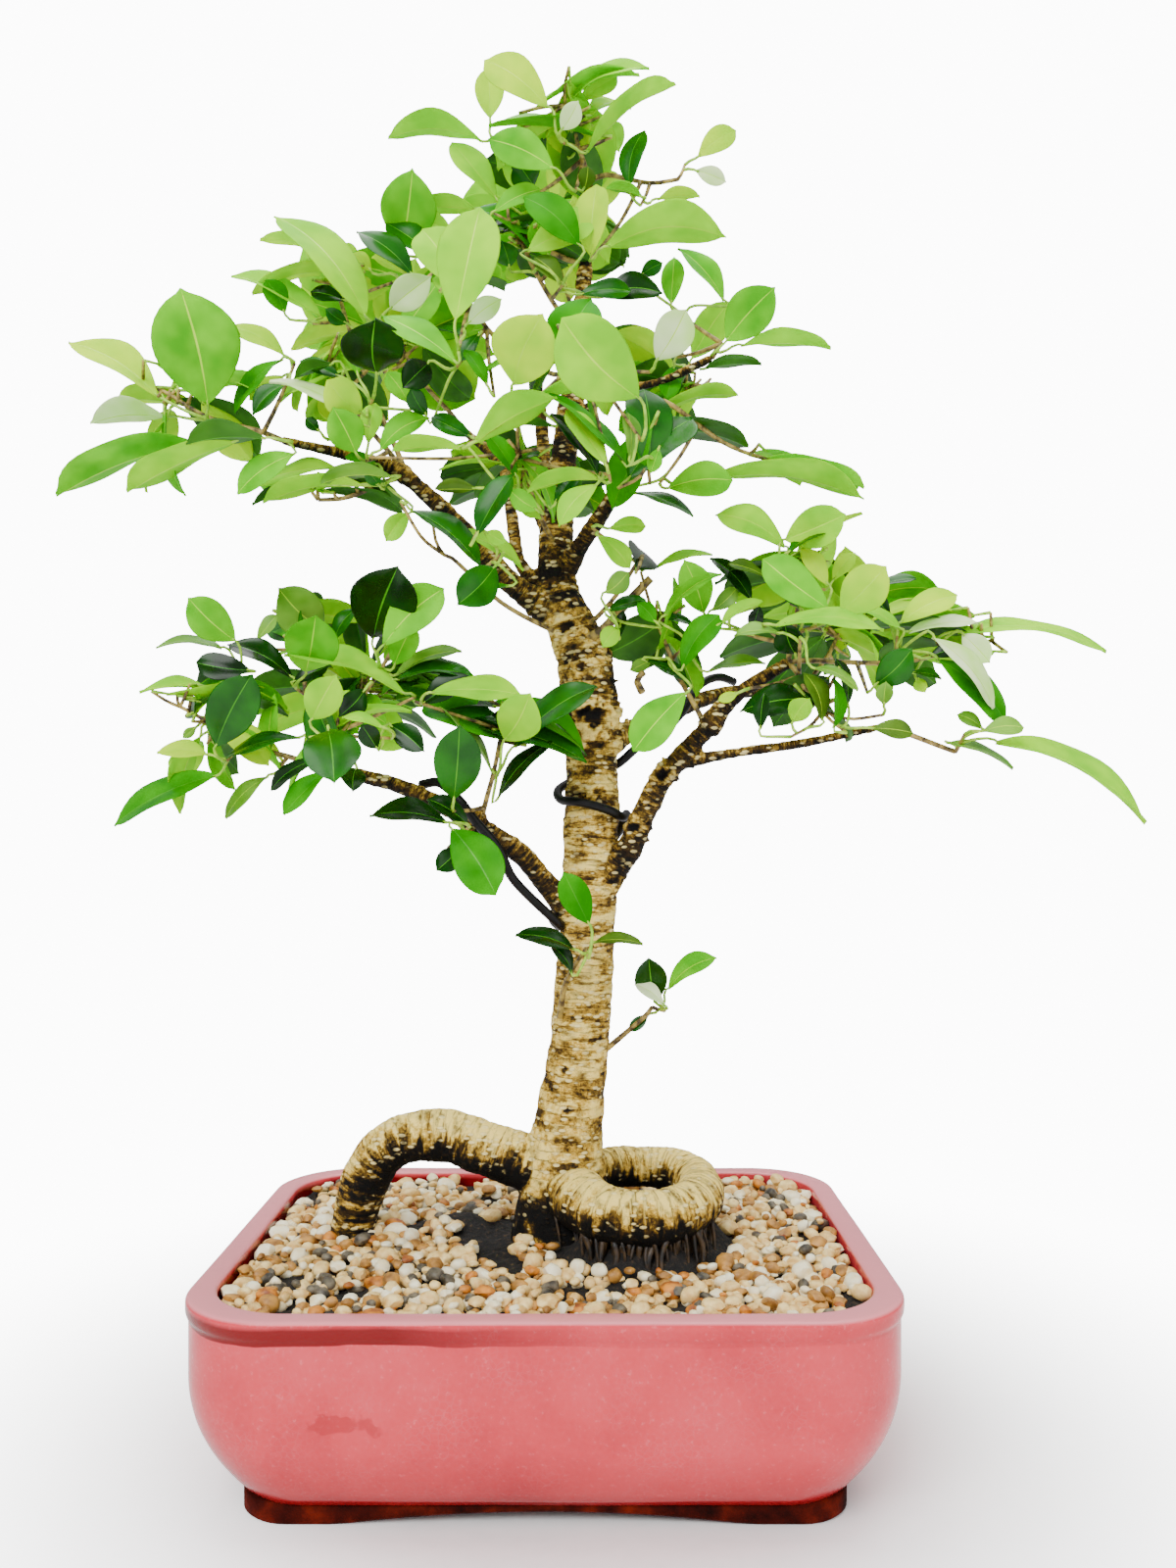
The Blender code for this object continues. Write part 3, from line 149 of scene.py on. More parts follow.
# Masses of foliage: carrier (a limb's tip, or the trunk and a height), centre, half sizes, leaves
MASSES = {
    "apex_foliage": ("trunk", None, (9, -5, 538), (43, 40, 29), 19),
    "apex_right_foliage": ("trunk", None, (54, -12, 511), (31, 32, 26), 11),
    "apex_left_foliage": ("trunk", 486, (-47, -5, 519), (31, 34, 27), 11),
    "crown_centre_foliage": ("trunk", 462, (-13, -6, 490), (32, 32, 28), 12),
    "back_top_foliage": ("crown_rear_bough", None, (-3, 62, 527), (46, 34, 36), 15),
    "upper_left_foliage": ("crown_left_bough", None, (-88, -12, 470), (34, 34, 31), 12),
    "far_left_foliage": ("crown_left_branch", None, (-151, -30, 418), (47, 32, 43), 16),
    "left_inner_foliage": ("crown_left_bough", None, (-83, -30, 424), (32, 34, 22), 11),
    "left_low_foliage": ("crown_left_bough", None, (-92, -28, 376), (38, 30, 20), 10),
    "front_upper_foliage": ("twin_stem", None, (-32, -58, 447), (25, 26, 37), 10),
    "front_middle_foliage": ("twin_stem", None, (10, -64, 418), (36, 28, 26), 11),
    "front_low_foliage": ("trunk", 366, (-9, -54, 384), (32, 28, 27), 10),
    "right_top_foliage": ("crown_right_branch", None, (78, -8, 458), (40, 34, 33), 15),
    "right_middle_foliage": ("crown_right_bough", None, (88, -20, 394), (42, 34, 29), 14),
    "right_inner_foliage": ("crown_right_bough", None, (38, -56, 386), (24, 26, 28), 8),
    "low_right_foliage": ("trunk", 330, (35, -24, 352), (19, 24, 18), 6),
    "low_left_foliage": ("trunk", 327, (-36, -38, 350), (29, 26, 20), 8),
    "back_left_foliage": ("crown_rear_left", None, (-72, 56, 470), (50, 38, 36), 18),
    "back_right_foliage": ("crown_rear_bough", None, (62, 56, 450), (46, 38, 40), 18),
    "back_low_foliage": ("crown_rear_left", None, (-13, 78, 412), (42, 30, 30), 12),
    "left_pad_tip": ("left_bough_outer", None, (-143, -15, 292), (37, 36, 44), 17),
    "left_pad_top": ("left_bough_outer", None, (-104, -2, 327), (31, 34, 26), 11),
    "left_pad_crest": ("left_bough_outer", None, (-58, -10, 330), (27, 34, 28), 11),
    "left_pad_front": ("left_bough_outer", None, (-80, -54, 280), (34, 26, 28), 11),
    "left_pad_inner": ("left_bough", None, (-18, -30, 287), (38, 30, 31), 11),
    "left_pad_low": ("left_bough", None, (-42, -44, 238), (29, 22, 19), 7),
    "left_pad_back": ("left_bough_outer", None, (-88, 54, 310), (54, 36, 38), 18),
    "right_pad_top": ("right_upper_branch", None, (102, -18, 350), (36, 34, 31), 14),
    "right_pad_inner": ("right_bough", None, (46, -14, 324), (27, 30, 31), 11),
    "right_pad_outer": ("right_upper_branch", None, (170, -25, 320), (50, 34, 30), 17),
    "right_pad_tip": ("right_low_branch", None, (193, -32, 272), (45, 28, 25), 11),
    "right_pad_under": ("right_upper_branch", None, (104, -38, 294), (30, 26, 18), 8),
    "right_pad_back": ("rear_right_bough", None, (132, 58, 338), (56, 38, 38), 18),
    "front_trunk_sprig": ("trunk", 168, (10, -36, 206), (27, 18, 26), 5),
    "right_trunk_sprig": ("trunk", 154, (50, -10, 177), (25, 18, 24), 5),
}
FRONT_ONLY = ("front_trunk_sprig", "right_trunk_sprig")    # bare but for the listed leaves

# Leaves that a viewer in front knows the tree by, listed one by one. Each row gives, in the 1200 x 1600
# front view, the blade's root and tip, its width as seen, its tone, and how far it stands behind (+)
# or before (-) the middle of its mass in millimetres.
LEADING_LEAVES = {
    "apex_foliage": [
        (559, 109, 494, 61, 38, "Y", -14), (500, 121, 498, 68, 30, "Y", 4),
        (592, 103, 630, 78, 22, "Y", 6), (599, 154, 689, 85, 18, "L", -6),
        (493, 144, 396, 140, 25, "L", -4), (565, 172, 498, 142, 38, "F", -22),
        (573, 133, 590, 103, 22, "P", -16), (599, 151, 588, 116, 24, "Y", 8),
        (507, 203, 461, 145, 28, "L", 0), (545, 190, 526, 163, 32, "D", 6),
        (596, 194, 600, 170, 18, "O", -10), (580, 160, 560, 128, 20, "Y", 10)],
    "apex_right_foliage": [
        (642, 189, 658, 133, 24, "D", -2), (712, 160, 751, 133, 25, "Y", 4),
        (710, 174, 741, 186, 18, "P", 4), (671, 203, 714, 200, 14, "Y", 6),
        (619, 252, 741, 241, 42, "L", -20), (656, 201, 619, 191, 12, "F", -4),
        (603, 262, 609, 188, 36, "Y", -8)],
    "apex_left_foliage": [
        (411, 252, 421, 172, 56, "F", -6), (486, 213, 423, 211, 21, "L", -10),
        (445, 263, 393, 227, 26, "D", -14), (504, 216, 551, 193, 20, "F", -12),
        (421, 280, 364, 236, 26, "D", -22), (462, 240, 429, 219, 22, "L", -2)],
    "crown_centre_foliage": [
        (591, 251, 534, 201, 36, "G", -24), (538, 256, 608, 219, 34, "L", -14),
        (560, 262, 545, 224, 26, "F", -2), (613, 303, 676, 299, 27, "K", -12),
        (592, 300, 644, 297, 20, "D", -18), (520, 272, 512, 246, 24, "D", -8),
        (575, 290, 545, 262, 20, "O", -12)],
    "upper_left_foliage": [
        (373, 323, 280, 220, 40, "L", -18), (327, 323, 236, 281, 20, "L", -4),
        (291, 319, 271, 285, 24, "G", -10), (352, 307, 317, 298, 16, "K", -4),
        (379, 276, 361, 258, 16, "Y", 4), (415, 280, 380, 262, 14, "Y", 0),
        (398, 315, 440, 282, 34, "P", -12), (354, 330, 332, 315, 16, "D", -8),
        (409, 340, 447, 288, 32, "F", -4)],
    "far_left_foliage": [
        (212, 412, 184, 294, 86, "F", -8), (161, 404, 70, 349, 33, "Y", -2),
        (207, 420, 119, 407, 18, "Y", 8), (170, 425, 92, 431, 26, "P", 4),
        (203, 451, 57, 505, 31, "F", -12), (240, 449, 129, 501, 29, "L", -18),
        (271, 447, 190, 452, 25, "D", -24), (288, 366, 240, 422, 16, "G", -4),
        (291, 363, 234, 333, 20, "Y", 2), (290, 392, 258, 423, 19, "D", -14),
        (289, 384, 254, 408, 20, "Y", 6), (300, 463, 242, 504, 28, "F", -16)],
    "left_inner_foliage": [
        (384, 381, 383, 325, 62, "K", -28), (346, 384, 306, 368, 16, "D", -12),
        (365, 382, 351, 346, 20, "F", -8), (369, 432, 275, 389, 15, "P", -20),
        (369, 421, 334, 388, 38, "Y", -24), (363, 462, 340, 416, 38, "F", -20),
        (376, 452, 383, 411, 22, "L", -12), (326, 440, 312, 427, 13, "D", -6),
        (417, 411, 395, 380, 22, "F", -16), (340, 372, 300, 385, 14, "G", -18)],
    "left_low_foliage": [
        (369, 494, 268, 512, 20, "L", -12), (322, 497, 257, 514, 10, "D", -6),
        (401, 486, 327, 492, 18, "S", -16), (388, 496, 374, 478, 16, "D", -10),
        (417, 523, 394, 552, 22, "L", -6), (384, 474, 352, 466, 12, "G", -4)],
    "front_upper_foliage": [
        (465, 327, 490, 211, 62, "L", -24), (465, 369, 389, 322, 26, "F", -18),
        (497, 393, 474, 357, 16, "G", -8), (478, 330, 512, 305, 24, "P", -6),
        (438, 370, 411, 396, 30, "K", 4), (436, 424, 419, 397, 20, "D", 6),
        (490, 340, 470, 368, 16, "D", 2)],
    "front_middle_foliage": [
        (524, 392, 553, 321, 66, "Y", -18), (651, 406, 573, 325, 74, "L", -22),
        (670, 368, 700, 316, 40, "P", 8), (484, 451, 568, 405, 34, "L", -16),
        (546, 409, 602, 395, 14, "L", -10), (638, 473, 560, 402, 15, "G", -12),
        (611, 486, 562, 422, 22, "K", -6), (618, 474, 578, 418, 24, "L", -14),
        (566, 434, 511, 435, 9, "D", -4)],
    "front_low_foliage": [
        (527, 486, 496, 441, 20, "G", -8), (611, 488, 538, 501, 16, "L", -12),
        (609, 494, 570, 537, 25, "L", -18), (487, 545, 523, 484, 28, "D", -22),
        (481, 446, 440, 426, 20, "D", -2), (388, 459, 438, 426, 24, "F", 2),
        (470, 457, 400, 459, 18, "L", -8), (486, 498, 444, 498, 15, "O", -6),
        (548, 520, 520, 500, 22, "F", -6), (566, 512, 590, 480, 18, "D", 4)],
    "right_top_foliage": [
        (685, 310, 688, 262, 24, "F", -4), (739, 307, 692, 253, 20, "F", 0),
        (741, 348, 791, 293, 46, "F", -10), (756, 352, 848, 355, 18, "L", -6),
        (717, 376, 777, 371, 13, "K", -2), (688, 374, 680, 407, 22, "G", 6),
        (690, 330, 681, 362, 20, "K", 4), (654, 281, 676, 268, 16, "D", 2)],
    "right_middle_foliage": [
        (670, 422, 753, 402, 15, "L", 2), (668, 438, 764, 455, 24, "K", 0),
        (665, 450, 697, 430, 12, "S", -6), (681, 498, 748, 490, 36, "F", -12),
        (730, 486, 882, 508, 24, "L", -4), (646, 502, 708, 526, 11, "D", -10)],
    "right_inner_foliage": [
        (643, 467, 641, 421, 18, "S", -20), (672, 458, 664, 482, 16, "F", -8)],
    "low_right_foliage": [
        (622, 539, 659, 537, 18, "L", -4), (610, 547, 643, 580, 22, "L", -8),
        (618, 605, 641, 584, 22, "S", -10), (620, 623, 659, 612, 14, "D", -6),
        (669, 635, 651, 615, 18, "G", -8), (632, 650, 636, 623, 12, "K", 2),
        (631, 640, 615, 660, 20, "L", 0)],
    "low_left_foliage": [
        (419, 520, 490, 576, 22, "D", -10), (505, 578, 467, 617, 40, "D", -14),
        (496, 543, 516, 554, 16, "L", -4), (520, 597, 488, 606, 7, "G", -10)],
    "left_pad_tip": [
        (240, 654, 192, 610, 40, "F", -6), (226, 661, 159, 660, 9, "S", -2),
        (256, 684, 200, 676, 28, "K", -10), (213, 703, 142, 706, 11, "L", 2),
        (220, 762, 257, 688, 50, "D", -20), (212, 770, 160, 768, 19, "Y", -8),
        (221, 791, 116, 842, 26, "G", -12), (200, 742, 187, 753, 10, "S", 4),
        (273, 792, 230, 835, 17, "S", -2), (274, 770, 280, 708, 18, "F", 0),
        (306, 752, 230, 773, 15, "D", -16)],
    "left_pad_top": [
        (330, 642, 284, 600, 48, "S", 4), (312, 686, 322, 628, 54, "F", -18),
        (298, 691, 232, 657, 24, "K", -10), (263, 652, 283, 627, 14, "S", -4),
        (340, 656, 363, 621, 16, "D", 2), (412, 707, 290, 668, 23, "L", -26),
        (299, 696, 335, 680, 16, "K", -12)],
    "left_pad_crest": [
        (381, 652, 406, 578, 66, "K", -8), (391, 659, 453, 600, 44, "F", -24),
        (402, 679, 422, 636, 30, "F", -16), (404, 688, 471, 664, 14, "S", -8),
        (404, 693, 484, 691, 15, "D", -14)],
    "left_pad_front": [
        (318, 735, 343, 689, 38, "L", -10), (335, 744, 341, 799, 58, "D", -20),
        (363, 784, 360, 807, 26, "K", -8), (322, 775, 276, 806, 16, "K", -8),
        (335, 786, 289, 831, 21, "G", -12), (390, 742, 349, 731, 11, "L", -14),
        (385, 764, 369, 740, 22, "K", -6), (372, 704, 346, 731, 26, "K", 4),
        (398, 740, 433, 767, 26, "K", 0)],
    "left_pad_inner": [
        (431, 718, 482, 691, 26, "K", 0), (441, 707, 533, 709, 26, "L", -14),
        (515, 755, 541, 708, 46, "L", -12), (525, 762, 609, 700, 30, "D", -4),
        (507, 815, 563, 756, 18, "K", -6), (463, 816, 469, 740, 48, "D", -16),
        (503, 787, 448, 721, 9, "S", -4)],
    "left_pad_low": [
        (461, 845, 506, 913, 50, "G", -14), (456, 839, 377, 832, 24, "K", -8),
        (478, 842, 436, 815, 20, "K", 2), (470, 865, 446, 888, 24, "K", 4)],
    "right_pad_top": [
        (801, 551, 863, 525, 42, "L", -8), (801, 558, 730, 525, 30, "L", -4),
        (804, 564, 857, 536, 14, "D", -12), (845, 621, 778, 570, 40, "F", -20),
        (858, 625, 904, 578, 46, "Y", -22), (844, 596, 817, 559, 20, "Y", -6),
        (850, 592, 873, 564, 18, "Y", 0), (781, 588, 743, 575, 12, "O", -8),
        (767, 613, 725, 569, 18, "K", -2), (792, 638, 902, 643, 20, "L", -28),
        (812, 668, 801, 636, 30, "K", -16), (769, 645, 775, 619, 16, "K", -10),
        (816, 621, 787, 597, 12, "D", -12), (735, 637, 778, 613, 12, "L", -14),
        (727, 623, 752, 600, 18, "S", 0)],
    "right_pad_inner": [
        (666, 580, 727, 565, 9, "L", 0), (718, 626, 698, 571, 34, "F", -4),
        (678, 629, 736, 585, 16, "F", -12), (708, 638, 679, 630, 9, "D", -4),
        (696, 681, 734, 627, 30, "G", -16), (658, 673, 703, 696, 14, "D", -6),
        (665, 673, 643, 684, 14, "S", 4), (700, 706, 646, 767, 42, "F", -20),
        (724, 684, 781, 676, 12, "S", -4)],
    "right_pad_outer": [
        (919, 635, 977, 607, 28, "Y", -8), (908, 627, 891, 604, 16, "K", -4),
        (919, 642, 879, 621, 12, "L", -10), (927, 645, 999, 635, 13, "P", -6),
        (978, 645, 1129, 665, 16, "L", 0), (982, 647, 1010, 676, 26, "P", -8),
        (952, 650, 1014, 723, 20, "P", -18), (948, 670, 982, 660, 16, "K", -10),
        (956, 672, 1026, 736, 30, "G", -12), (894, 698, 931, 662, 34, "D", -18),
        (898, 597, 935, 590, 10, "D", 2), (931, 686, 961, 692, 9, "D", -2),
        (936, 692, 944, 706, 14, "Y", 4)],
    "right_pad_tip": [
        (1003, 744, 977, 729, 14, "S", -8), (1003, 746, 1045, 742, 20, "S", -14),
        (1017, 757, 1169, 840, 22, "L", -8), (966, 757, 1034, 784, 9, "S", -4)],
    "right_pad_under": [
        (776, 744, 780, 707, 17, "K", -10), (809, 737, 826, 713, 24, "L", -8),
        (839, 735, 820, 686, 20, "O", -10), (851, 743, 851, 692, 13, "G", -12),
        (865, 719, 853, 672, 13, "K", -6), (831, 681, 876, 704, 11, "S", -14),
        (902, 719, 904, 696, 18, "S", -4), (890, 743, 932, 748, 20, "O", -12),
        (753, 707, 733, 715, 11, "Y", 8), (796, 646, 749, 648, 12, "S", -8)],
    "front_trunk_sprig": [
        (601, 943, 575, 890, 32, "G", -4), (587, 969, 526, 954, 20, "K", -2),
        (584, 993, 562, 964, 15, "K", 2), (606, 961, 656, 963, 12, "O", 0)],
    "right_trunk_sprig": [
        (668, 1021, 662, 978, 33, "K", 2), (682, 1009, 731, 977, 22, "F", 0),
        (678, 1026, 648, 1004, 15, "P", -8), (661, 1036, 642, 1052, 13, "D", 2)],
}

# Windows of the front view, as (u0, v0, u1, v1), where the crown is open and nothing grows by the rule
SKY = [(708, 355, 836, 458), (1010, 645, 1126, 696), (366, 112, 488, 200), (746, 240, 856, 336),
       (378, 842, 500, 920), (76, 280, 178, 392), (1040, 716, 1182, 790), (108, 655, 200, 698),
       (104, 704, 196, 762), (290, 504, 364, 534), (428, 608, 476, 662), (1034, 580, 1114, 626),
       (410, 530, 474, 584), (188, 456, 248, 502), (700, 176, 750, 236), (740, 470, 800, 500),
       (900, 740, 1000, 800), (560, 540, 620, 620), (664, 122, 704, 184), (662, 306, 712, 358),
       (196, 798, 232, 836), (70, 470, 128, 502), (570, 50, 596, 84), (510, 92, 548, 122),
       (970, 606, 1026, 630), (462, 884, 496, 918), (736, 526, 778, 552), (700, 286, 728, 314)]

# The front view: a level camera before the pot, with a frame of 1200 x 1600
EYE = (15.5, -549.0, 244.4)
PICTURE_WIDTH = 1200.0
PICTURE_HEIGHT = 1600.0
HORIZON = 850.0
FOCAL_PIXELS = 1345.0
SENSOR = 36.0

BACKDROP = 12.0                 # radiance of the white backdrop, as the camera sees it
FLOOR_FADE = (0.1, 0.42)        # metres from the middle over which the floor goes over to it

# Lengths between the stations of a path
LIMB_STEP = 4.0
CROWN_STEP = 6.0                # of limbs that leaves only have to stay clear of
WIND_STEP = 17.0                # of the trunk that the wire winds round
WIRE_STEP = 1.8
TWIG_STEP = 3.0

# Sides of the round pieces
WIRE_SIDES = 14
STEM_SIDES = 8
TWIG_SIDES = 7
SHOOT_SIDES = 6

STEM_RADIUS = 1.15
TWIG_RADIUS = 1.05
SHOOT_RADIUS = 0.75
PETIOLE_RADIUS = 0.62
LIMB_CLEARANCE = 0.9
SPACE_MARGIN = 0.25
CROWN_AXIS = (15.0, 0.0)
CROWN_REACH = 190.0
CROWN_FOOT = 250.0
CROWN_HEIGHT = 300.0
SEED = 41


# ---------------------------------------------------------------- settings

def linear(hex_color):
    """An sRGB hex value as linear red, green, blue and alpha."""
    levels = [int(hex_color[i:i + 2], 16) / 255.0 for i in (1, 3, 5)]
    return tuple(v / 12.92 if v <= 0.04045 else ((v + 0.055) / 1.055) ** 2.4 for v in levels) + (1.0,)


def color_setting(name, description, hex_color):
    return FloatVectorProperty(name=name, description=description, subtype="COLOR", size=4,
                               min=0.0, max=1.0, default=linear(hex_color))


def size_setting(name, description, millimetres):
    return FloatProperty(name=name, description=description, unit="LENGTH", subtype="DISTANCE",
                         min=0.0, default=millimetres * MM)


class BonsaiPotSettings(bpy.types.PropertyGroup):
    """Glaze and clay of the pot"""
    glaze: color_setting("Glaze", "Colour of the rose glaze on the pot's sides", "#D43C46")
    glaze_light: color_setting("Thin glaze", "Where the glaze runs thin on the rim and lip", "#D2646C")
    glaze_dark: color_setting("Pooled glaze", "Where the glaze pools on the lip", "#780004")
    clay: color_setting("Clay", "Unglazed clay of the foot ring", "#400C05")
    crackle: size_setting("Crackle", "Distance between the crackle lines in the glaze", 2.4)


class BonsaiGravelSettings(bpy.types.PropertyGroup):
    """Gravel and soil on top of the pot"""
    pebble: size_setting("Pebble", "Typical length of a pebble", 5.7)
    count: IntProperty(name="Pebbles", description="How many pebbles are tried", default=8200, min=100)
    soil: color_setting("Soil", "Moist potting soil", "#17110B")


class BonsaiBarkSettings(bpy.types.PropertyGroup):
    """Bark of the trunk, roots and boughs"""
    pale: color_setting("Pale bark", "Raised wrinkles and lenticels", "#FFE27C")
    body: color_setting("Bark", "Main colour of the bark", "#C09834")
    shade: color_setting("Bark shade", "Olive brown between the wrinkles", "#5A4210")
    # The crack colour also paints the shade on the bark's undersides.
    crack: color_setting("Cracks", "Cracks, scars and undersides", "#0A0501")
    voxel: size_setting("Voxel", "Grain of the bark's mesh", 0.85)


class BonsaiFoliageSettings(bpy.types.PropertyGroup):
    """Leaves and twigs"""
    shortest: size_setting("Shortest leaf", "Shortest blade that grows by the rule", 30.0)
    longest: size_setting("Longest leaf", "Longest blade that grows by the rule", 50.0)
    thickness: size_setting("Blade", "Thickness of a blade at its midrib", 0.55)
    share: FloatProperty(name="Filling", subtype="FACTOR", default=1.0, min=0.0, max=2.0,
                         description="Leaves grown by the rule, as a share of the usual number")


class BonsaiWireSettings(bpy.types.PropertyGroup):
    """Training wire"""
    radius: size_setting("Radius", "Half the wire's diameter", WIRE_RADIUS)
    color: color_setting("Wire", "Black oxide on the wire", "#040404")


class BonsaiStageSettings(bpy.types.PropertyGroup):
    """Floor, light and camera"""
    floor: color_setting("Floor", "Pale matt floor", "#FFFFFF")
    light: FloatProperty(name="Light", description="Strength of the studio light", default=1.0, min=0.0)


# ---------------------------------------------------------------- materials

def add(mat, kind, inputs=None, stops=None, **settings):
    """Add a node: inputs take values or other nodes' outputs, and stops fill a colour ramp."""
    made = mat.node_tree.nodes.new(kind)
    for key, value in settings.items():
        setattr(made, key, value)
    for key, value in (inputs or {}).items():
        if isinstance(value, bpy.types.NodeSocket):
            mat.node_tree.links.new(value, made.inputs[key])
        else:
            made.inputs[key].default_value = value
    if stops:
        ramp = made.color_ramp
        while len(ramp.elements) < len(stops):
            ramp.elements.new(0.5)
        for element, (position, color) in zip(ramp.elements, stops):
            element.position = position
            element.color = color
    return made


def as_color(value):
    """A node's colour from an sRGB hex value, a level of grey or a setting."""
    if isinstance(value, str):
        return linear(value)
    if isinstance(value, float):
        return (value, value, value, 1.0)
    return tuple(value)


def clouds(mat, spot, millimetres, detail, roughness=0.5):
    """Fractal noise whose features are about this long."""
    return add(mat, "ShaderNodeTexNoise", {"Vector": spot, "Scale": per_mm(millimetres), "Detail": detail,
                                           "Roughness": roughness}).outputs["Fac"]


def ramp(mat, value, *stops):
    """Colours over a value; each stop is a position and a colour."""
    colors = [(position, as_color(color)) for position, color in stops]
    return add(mat, "ShaderNodeValToRGB", {"Fac": value}, stops=colors).outputs["Color"]


def blend(mat, factor, under, over, kind="MIX"):
    """One colour laid over another by a factor."""
    if not isinstance(over, bpy.types.NodeSocket):
        over = as_color(over)
    return add(mat, "ShaderNodeMix", {"Factor": factor, "A": under, "B": over},
               data_type="RGBA", blend_type=kind).outputs[2]


def maths(mat, operation, *values):
    return add(mat, "ShaderNodeMath", dict(enumerate(values)), operation=operation).outputs[0]


def remap(mat, value, low, high, least=0.0, **settings):
    """The stretch of a value from low to high, spread from least to 1."""
    ends = {"Value": value, "From Min": low, "From Max": high, "To Min": least}
    return add(mat, "ShaderNodeMapRange", ends, **settings).outputs["Result"]


def new_material(name, roughness, **sockets):
    """A material with its surface shader; returns both and the object's coordinates in metres."""
    mat = bpy.data.materials.new(name)
    mat.use_nodes = True
    shader = mat.node_tree.nodes["Principled BSDF"]
    shader.inputs["Roughness"].default_value = roughness
    for key, value in sockets.items():
        shader.inputs[key.replace("_", " ")].default_value = value
    spot = add(mat, "ShaderNodeTexCoord").outputs["Object"]
    return mat, shader, spot


def link(mat, output, shader, socket):
    mat.node_tree.links.new(output, shader.inputs[socket])


def emboss(mat, shader, height, strength, millimetres):
    """Fine relief on a surface."""
    bump = add(mat, "ShaderNodeBump", {"Height": height, "Strength": strength, "Distance": millimetres * MM})
    link(mat, bump.outputs["Normal"], shader, "Normal")


def show(mat, shader):
    """Make a shader the material's surface."""
    link(mat, shader, mat.node_tree.nodes["Material Output"], "Surface")


def clouded(name, roughness, millimetres, detail, *stops, **sockets):
    """A material whose colour wanders through the stops in clouds of about this length."""
    mat, shader, spot = new_material(name, roughness, **sockets)
    color = ramp(mat, clouds(mat, spot, millimetres, detail), *stops)
    link(mat, color, shader, "Base Color")
    return mat, shader, spot, color


def per_mm(millimetres):
    """Texture scale that puts one feature on each stretch of this length."""
    return 1.0 / (millimetres * MM)


def rose_crackle_glaze(pot):
    """Glazed stoneware: glossy, mottled by the kiln, finely crackled, darker where it pools."""
    mat, shader, spot = new_material("rose crackle glaze on stoneware", 0.2, Coat_Weight=0.05, IOR=1.32)
    axes = add(mat, "ShaderNodeSeparateXYZ", {"Vector": spot})
    mottle = clouds(mat, spot, 50.0, 5.0, 0.6)
    base = ramp(mat, mottle, (0.3, "#C22E3A"), (0.52, pot.glaze), (0.75, "#DA4A54"))
    fleck = ramp(mat, clouds(mat, spot, 1.6, 3.0), (0.35, 0.0), (0.62, 0.04), (0.74, 0.32))
    color = blend(mat, fleck, base, "#F0848C")

    cells = add(mat, "ShaderNodeTexVoronoi", {"Vector": spot, "Scale": 1.0 / pot.crackle},
                feature="DISTANCE_TO_EDGE")
    line = ramp(mat, cells.outputs["Distance"], (0.0, 0.8), (0.04, 0.3), (0.1, 0.0))
    patch = ramp(mat, clouds(mat, spot, 18.0, 2.0), (0.45, 0.05), (0.68, 0.6))
    color = blend(mat, maths(mat, "MULTIPLY", line, patch), color, pot.glaze_light)

    drip = maths(mat, "MULTIPLY_ADD", clouds(mat, spot, 40.0, 3.0), GLAZE_WAVER * MM, axes.outputs["Z"])
    foot = remap(mat, drip, FOOT_HEIGHT * MM, (FOOT_HEIGHT + LOW_DARKENING_HEIGHT) * MM)
    # darker towards the foot
    thin = ramp(mat, foot, (0.1, "#B56A70"), (0.3, "#E2C2C4"), (1.0, 1.0))
    color = blend(mat, 1.0, color, thin, "MULTIPLY")

    lip = remap(mat, drip, (RIM_HEIGHT - GLAZE_BAND[0]) * MM, (RIM_HEIGHT + GLAZE_BAND[1]) * MM)
    band = ramp(mat, lip, (0.16, 0.0), (0.2, 1.0), (0.7, 1.0), (0.86, 0.0))
    side = remap(mat, axes.outputs["X"], 0.0, GLAZE_POOL * MM, least=0.15)
    color = blend(mat, maths(mat, "MULTIPLY", band, side), color, pot.glaze_dark)
    # Lighter glaze on the rim's top millimetre: partly the glaze breaking thin over the edge, partly painted
    # light on the top face.
    worn = remap(mat, axes.outputs["Z"], (RIM_HEIGHT - 1.2) * MM, (RIM_HEIGHT - 0.4) * MM)
    color = blend(mat, worn, color, "#E68890")

    there = add(mat, "ShaderNodeMapping", {
        "Vector": spot, "Scale": [1.0 / (s * MM) for s in GLAZE_RUN_SIZE],
        "Location": [-c / (s * MM) for c, s in zip(place(GLAZE_RUN), GLAZE_RUN_SIZE)]})
    away = add(mat, "ShaderNodeVectorMath", {0: there.outputs["Vector"]}, operation="LENGTH")
    edge = maths(mat, "MULTIPLY_ADD", clouds(mat, spot, 7.0, 2.0), 1.2, away.outputs["Value"])
    color = blend(mat, ramp(mat, edge, (0.9, 0.55), (1.0, 0.0)), color, "#A81E26")

    link(mat, color, shader, "Base Color")
    emboss(mat, shader, clouds(mat, spot, 9.0, 2.0), 0.25, 0.6)
    return mat


def unglazed_clay(pot):
    """Fired red clay left bare on the foot: matt, gritty and darker where it drank water."""
    mat, shader, spot, _ = clouded("unglazed fired clay", 0.75, 12.0, 6.0, (0.3, "#1C0402"), (0.5, pot.clay),
                                   (0.75, "#74200E"), IOR=1.15)
    emboss(mat, shader, clouds(mat, spot, 1.2, 3.0), 0.5, 0.5)
    return mat


def potting_soil(gravel):
    """Moist peat and bark crumbs: nearly black, rough, with lighter crumbs."""
    mat, shader, spot, _ = clouded("moist potting soil", 0.9, 2.2, 6.0, (0.4, "#050403"), (0.58, gravel.soil),
                                   (0.75, "#4A3821"))
    emboss(mat, shader, clouds(mat, spot, 2.2, 6.0), 1.0, 1.5)
    return mat


def river_pebble(name, dark, light):
    """Water-worn stone: smooth and dull, clouded across a few millimetres."""
    return clouded(name, 0.5, 4.0, 4.0, (0.35, dark), (0.65, light))[0]


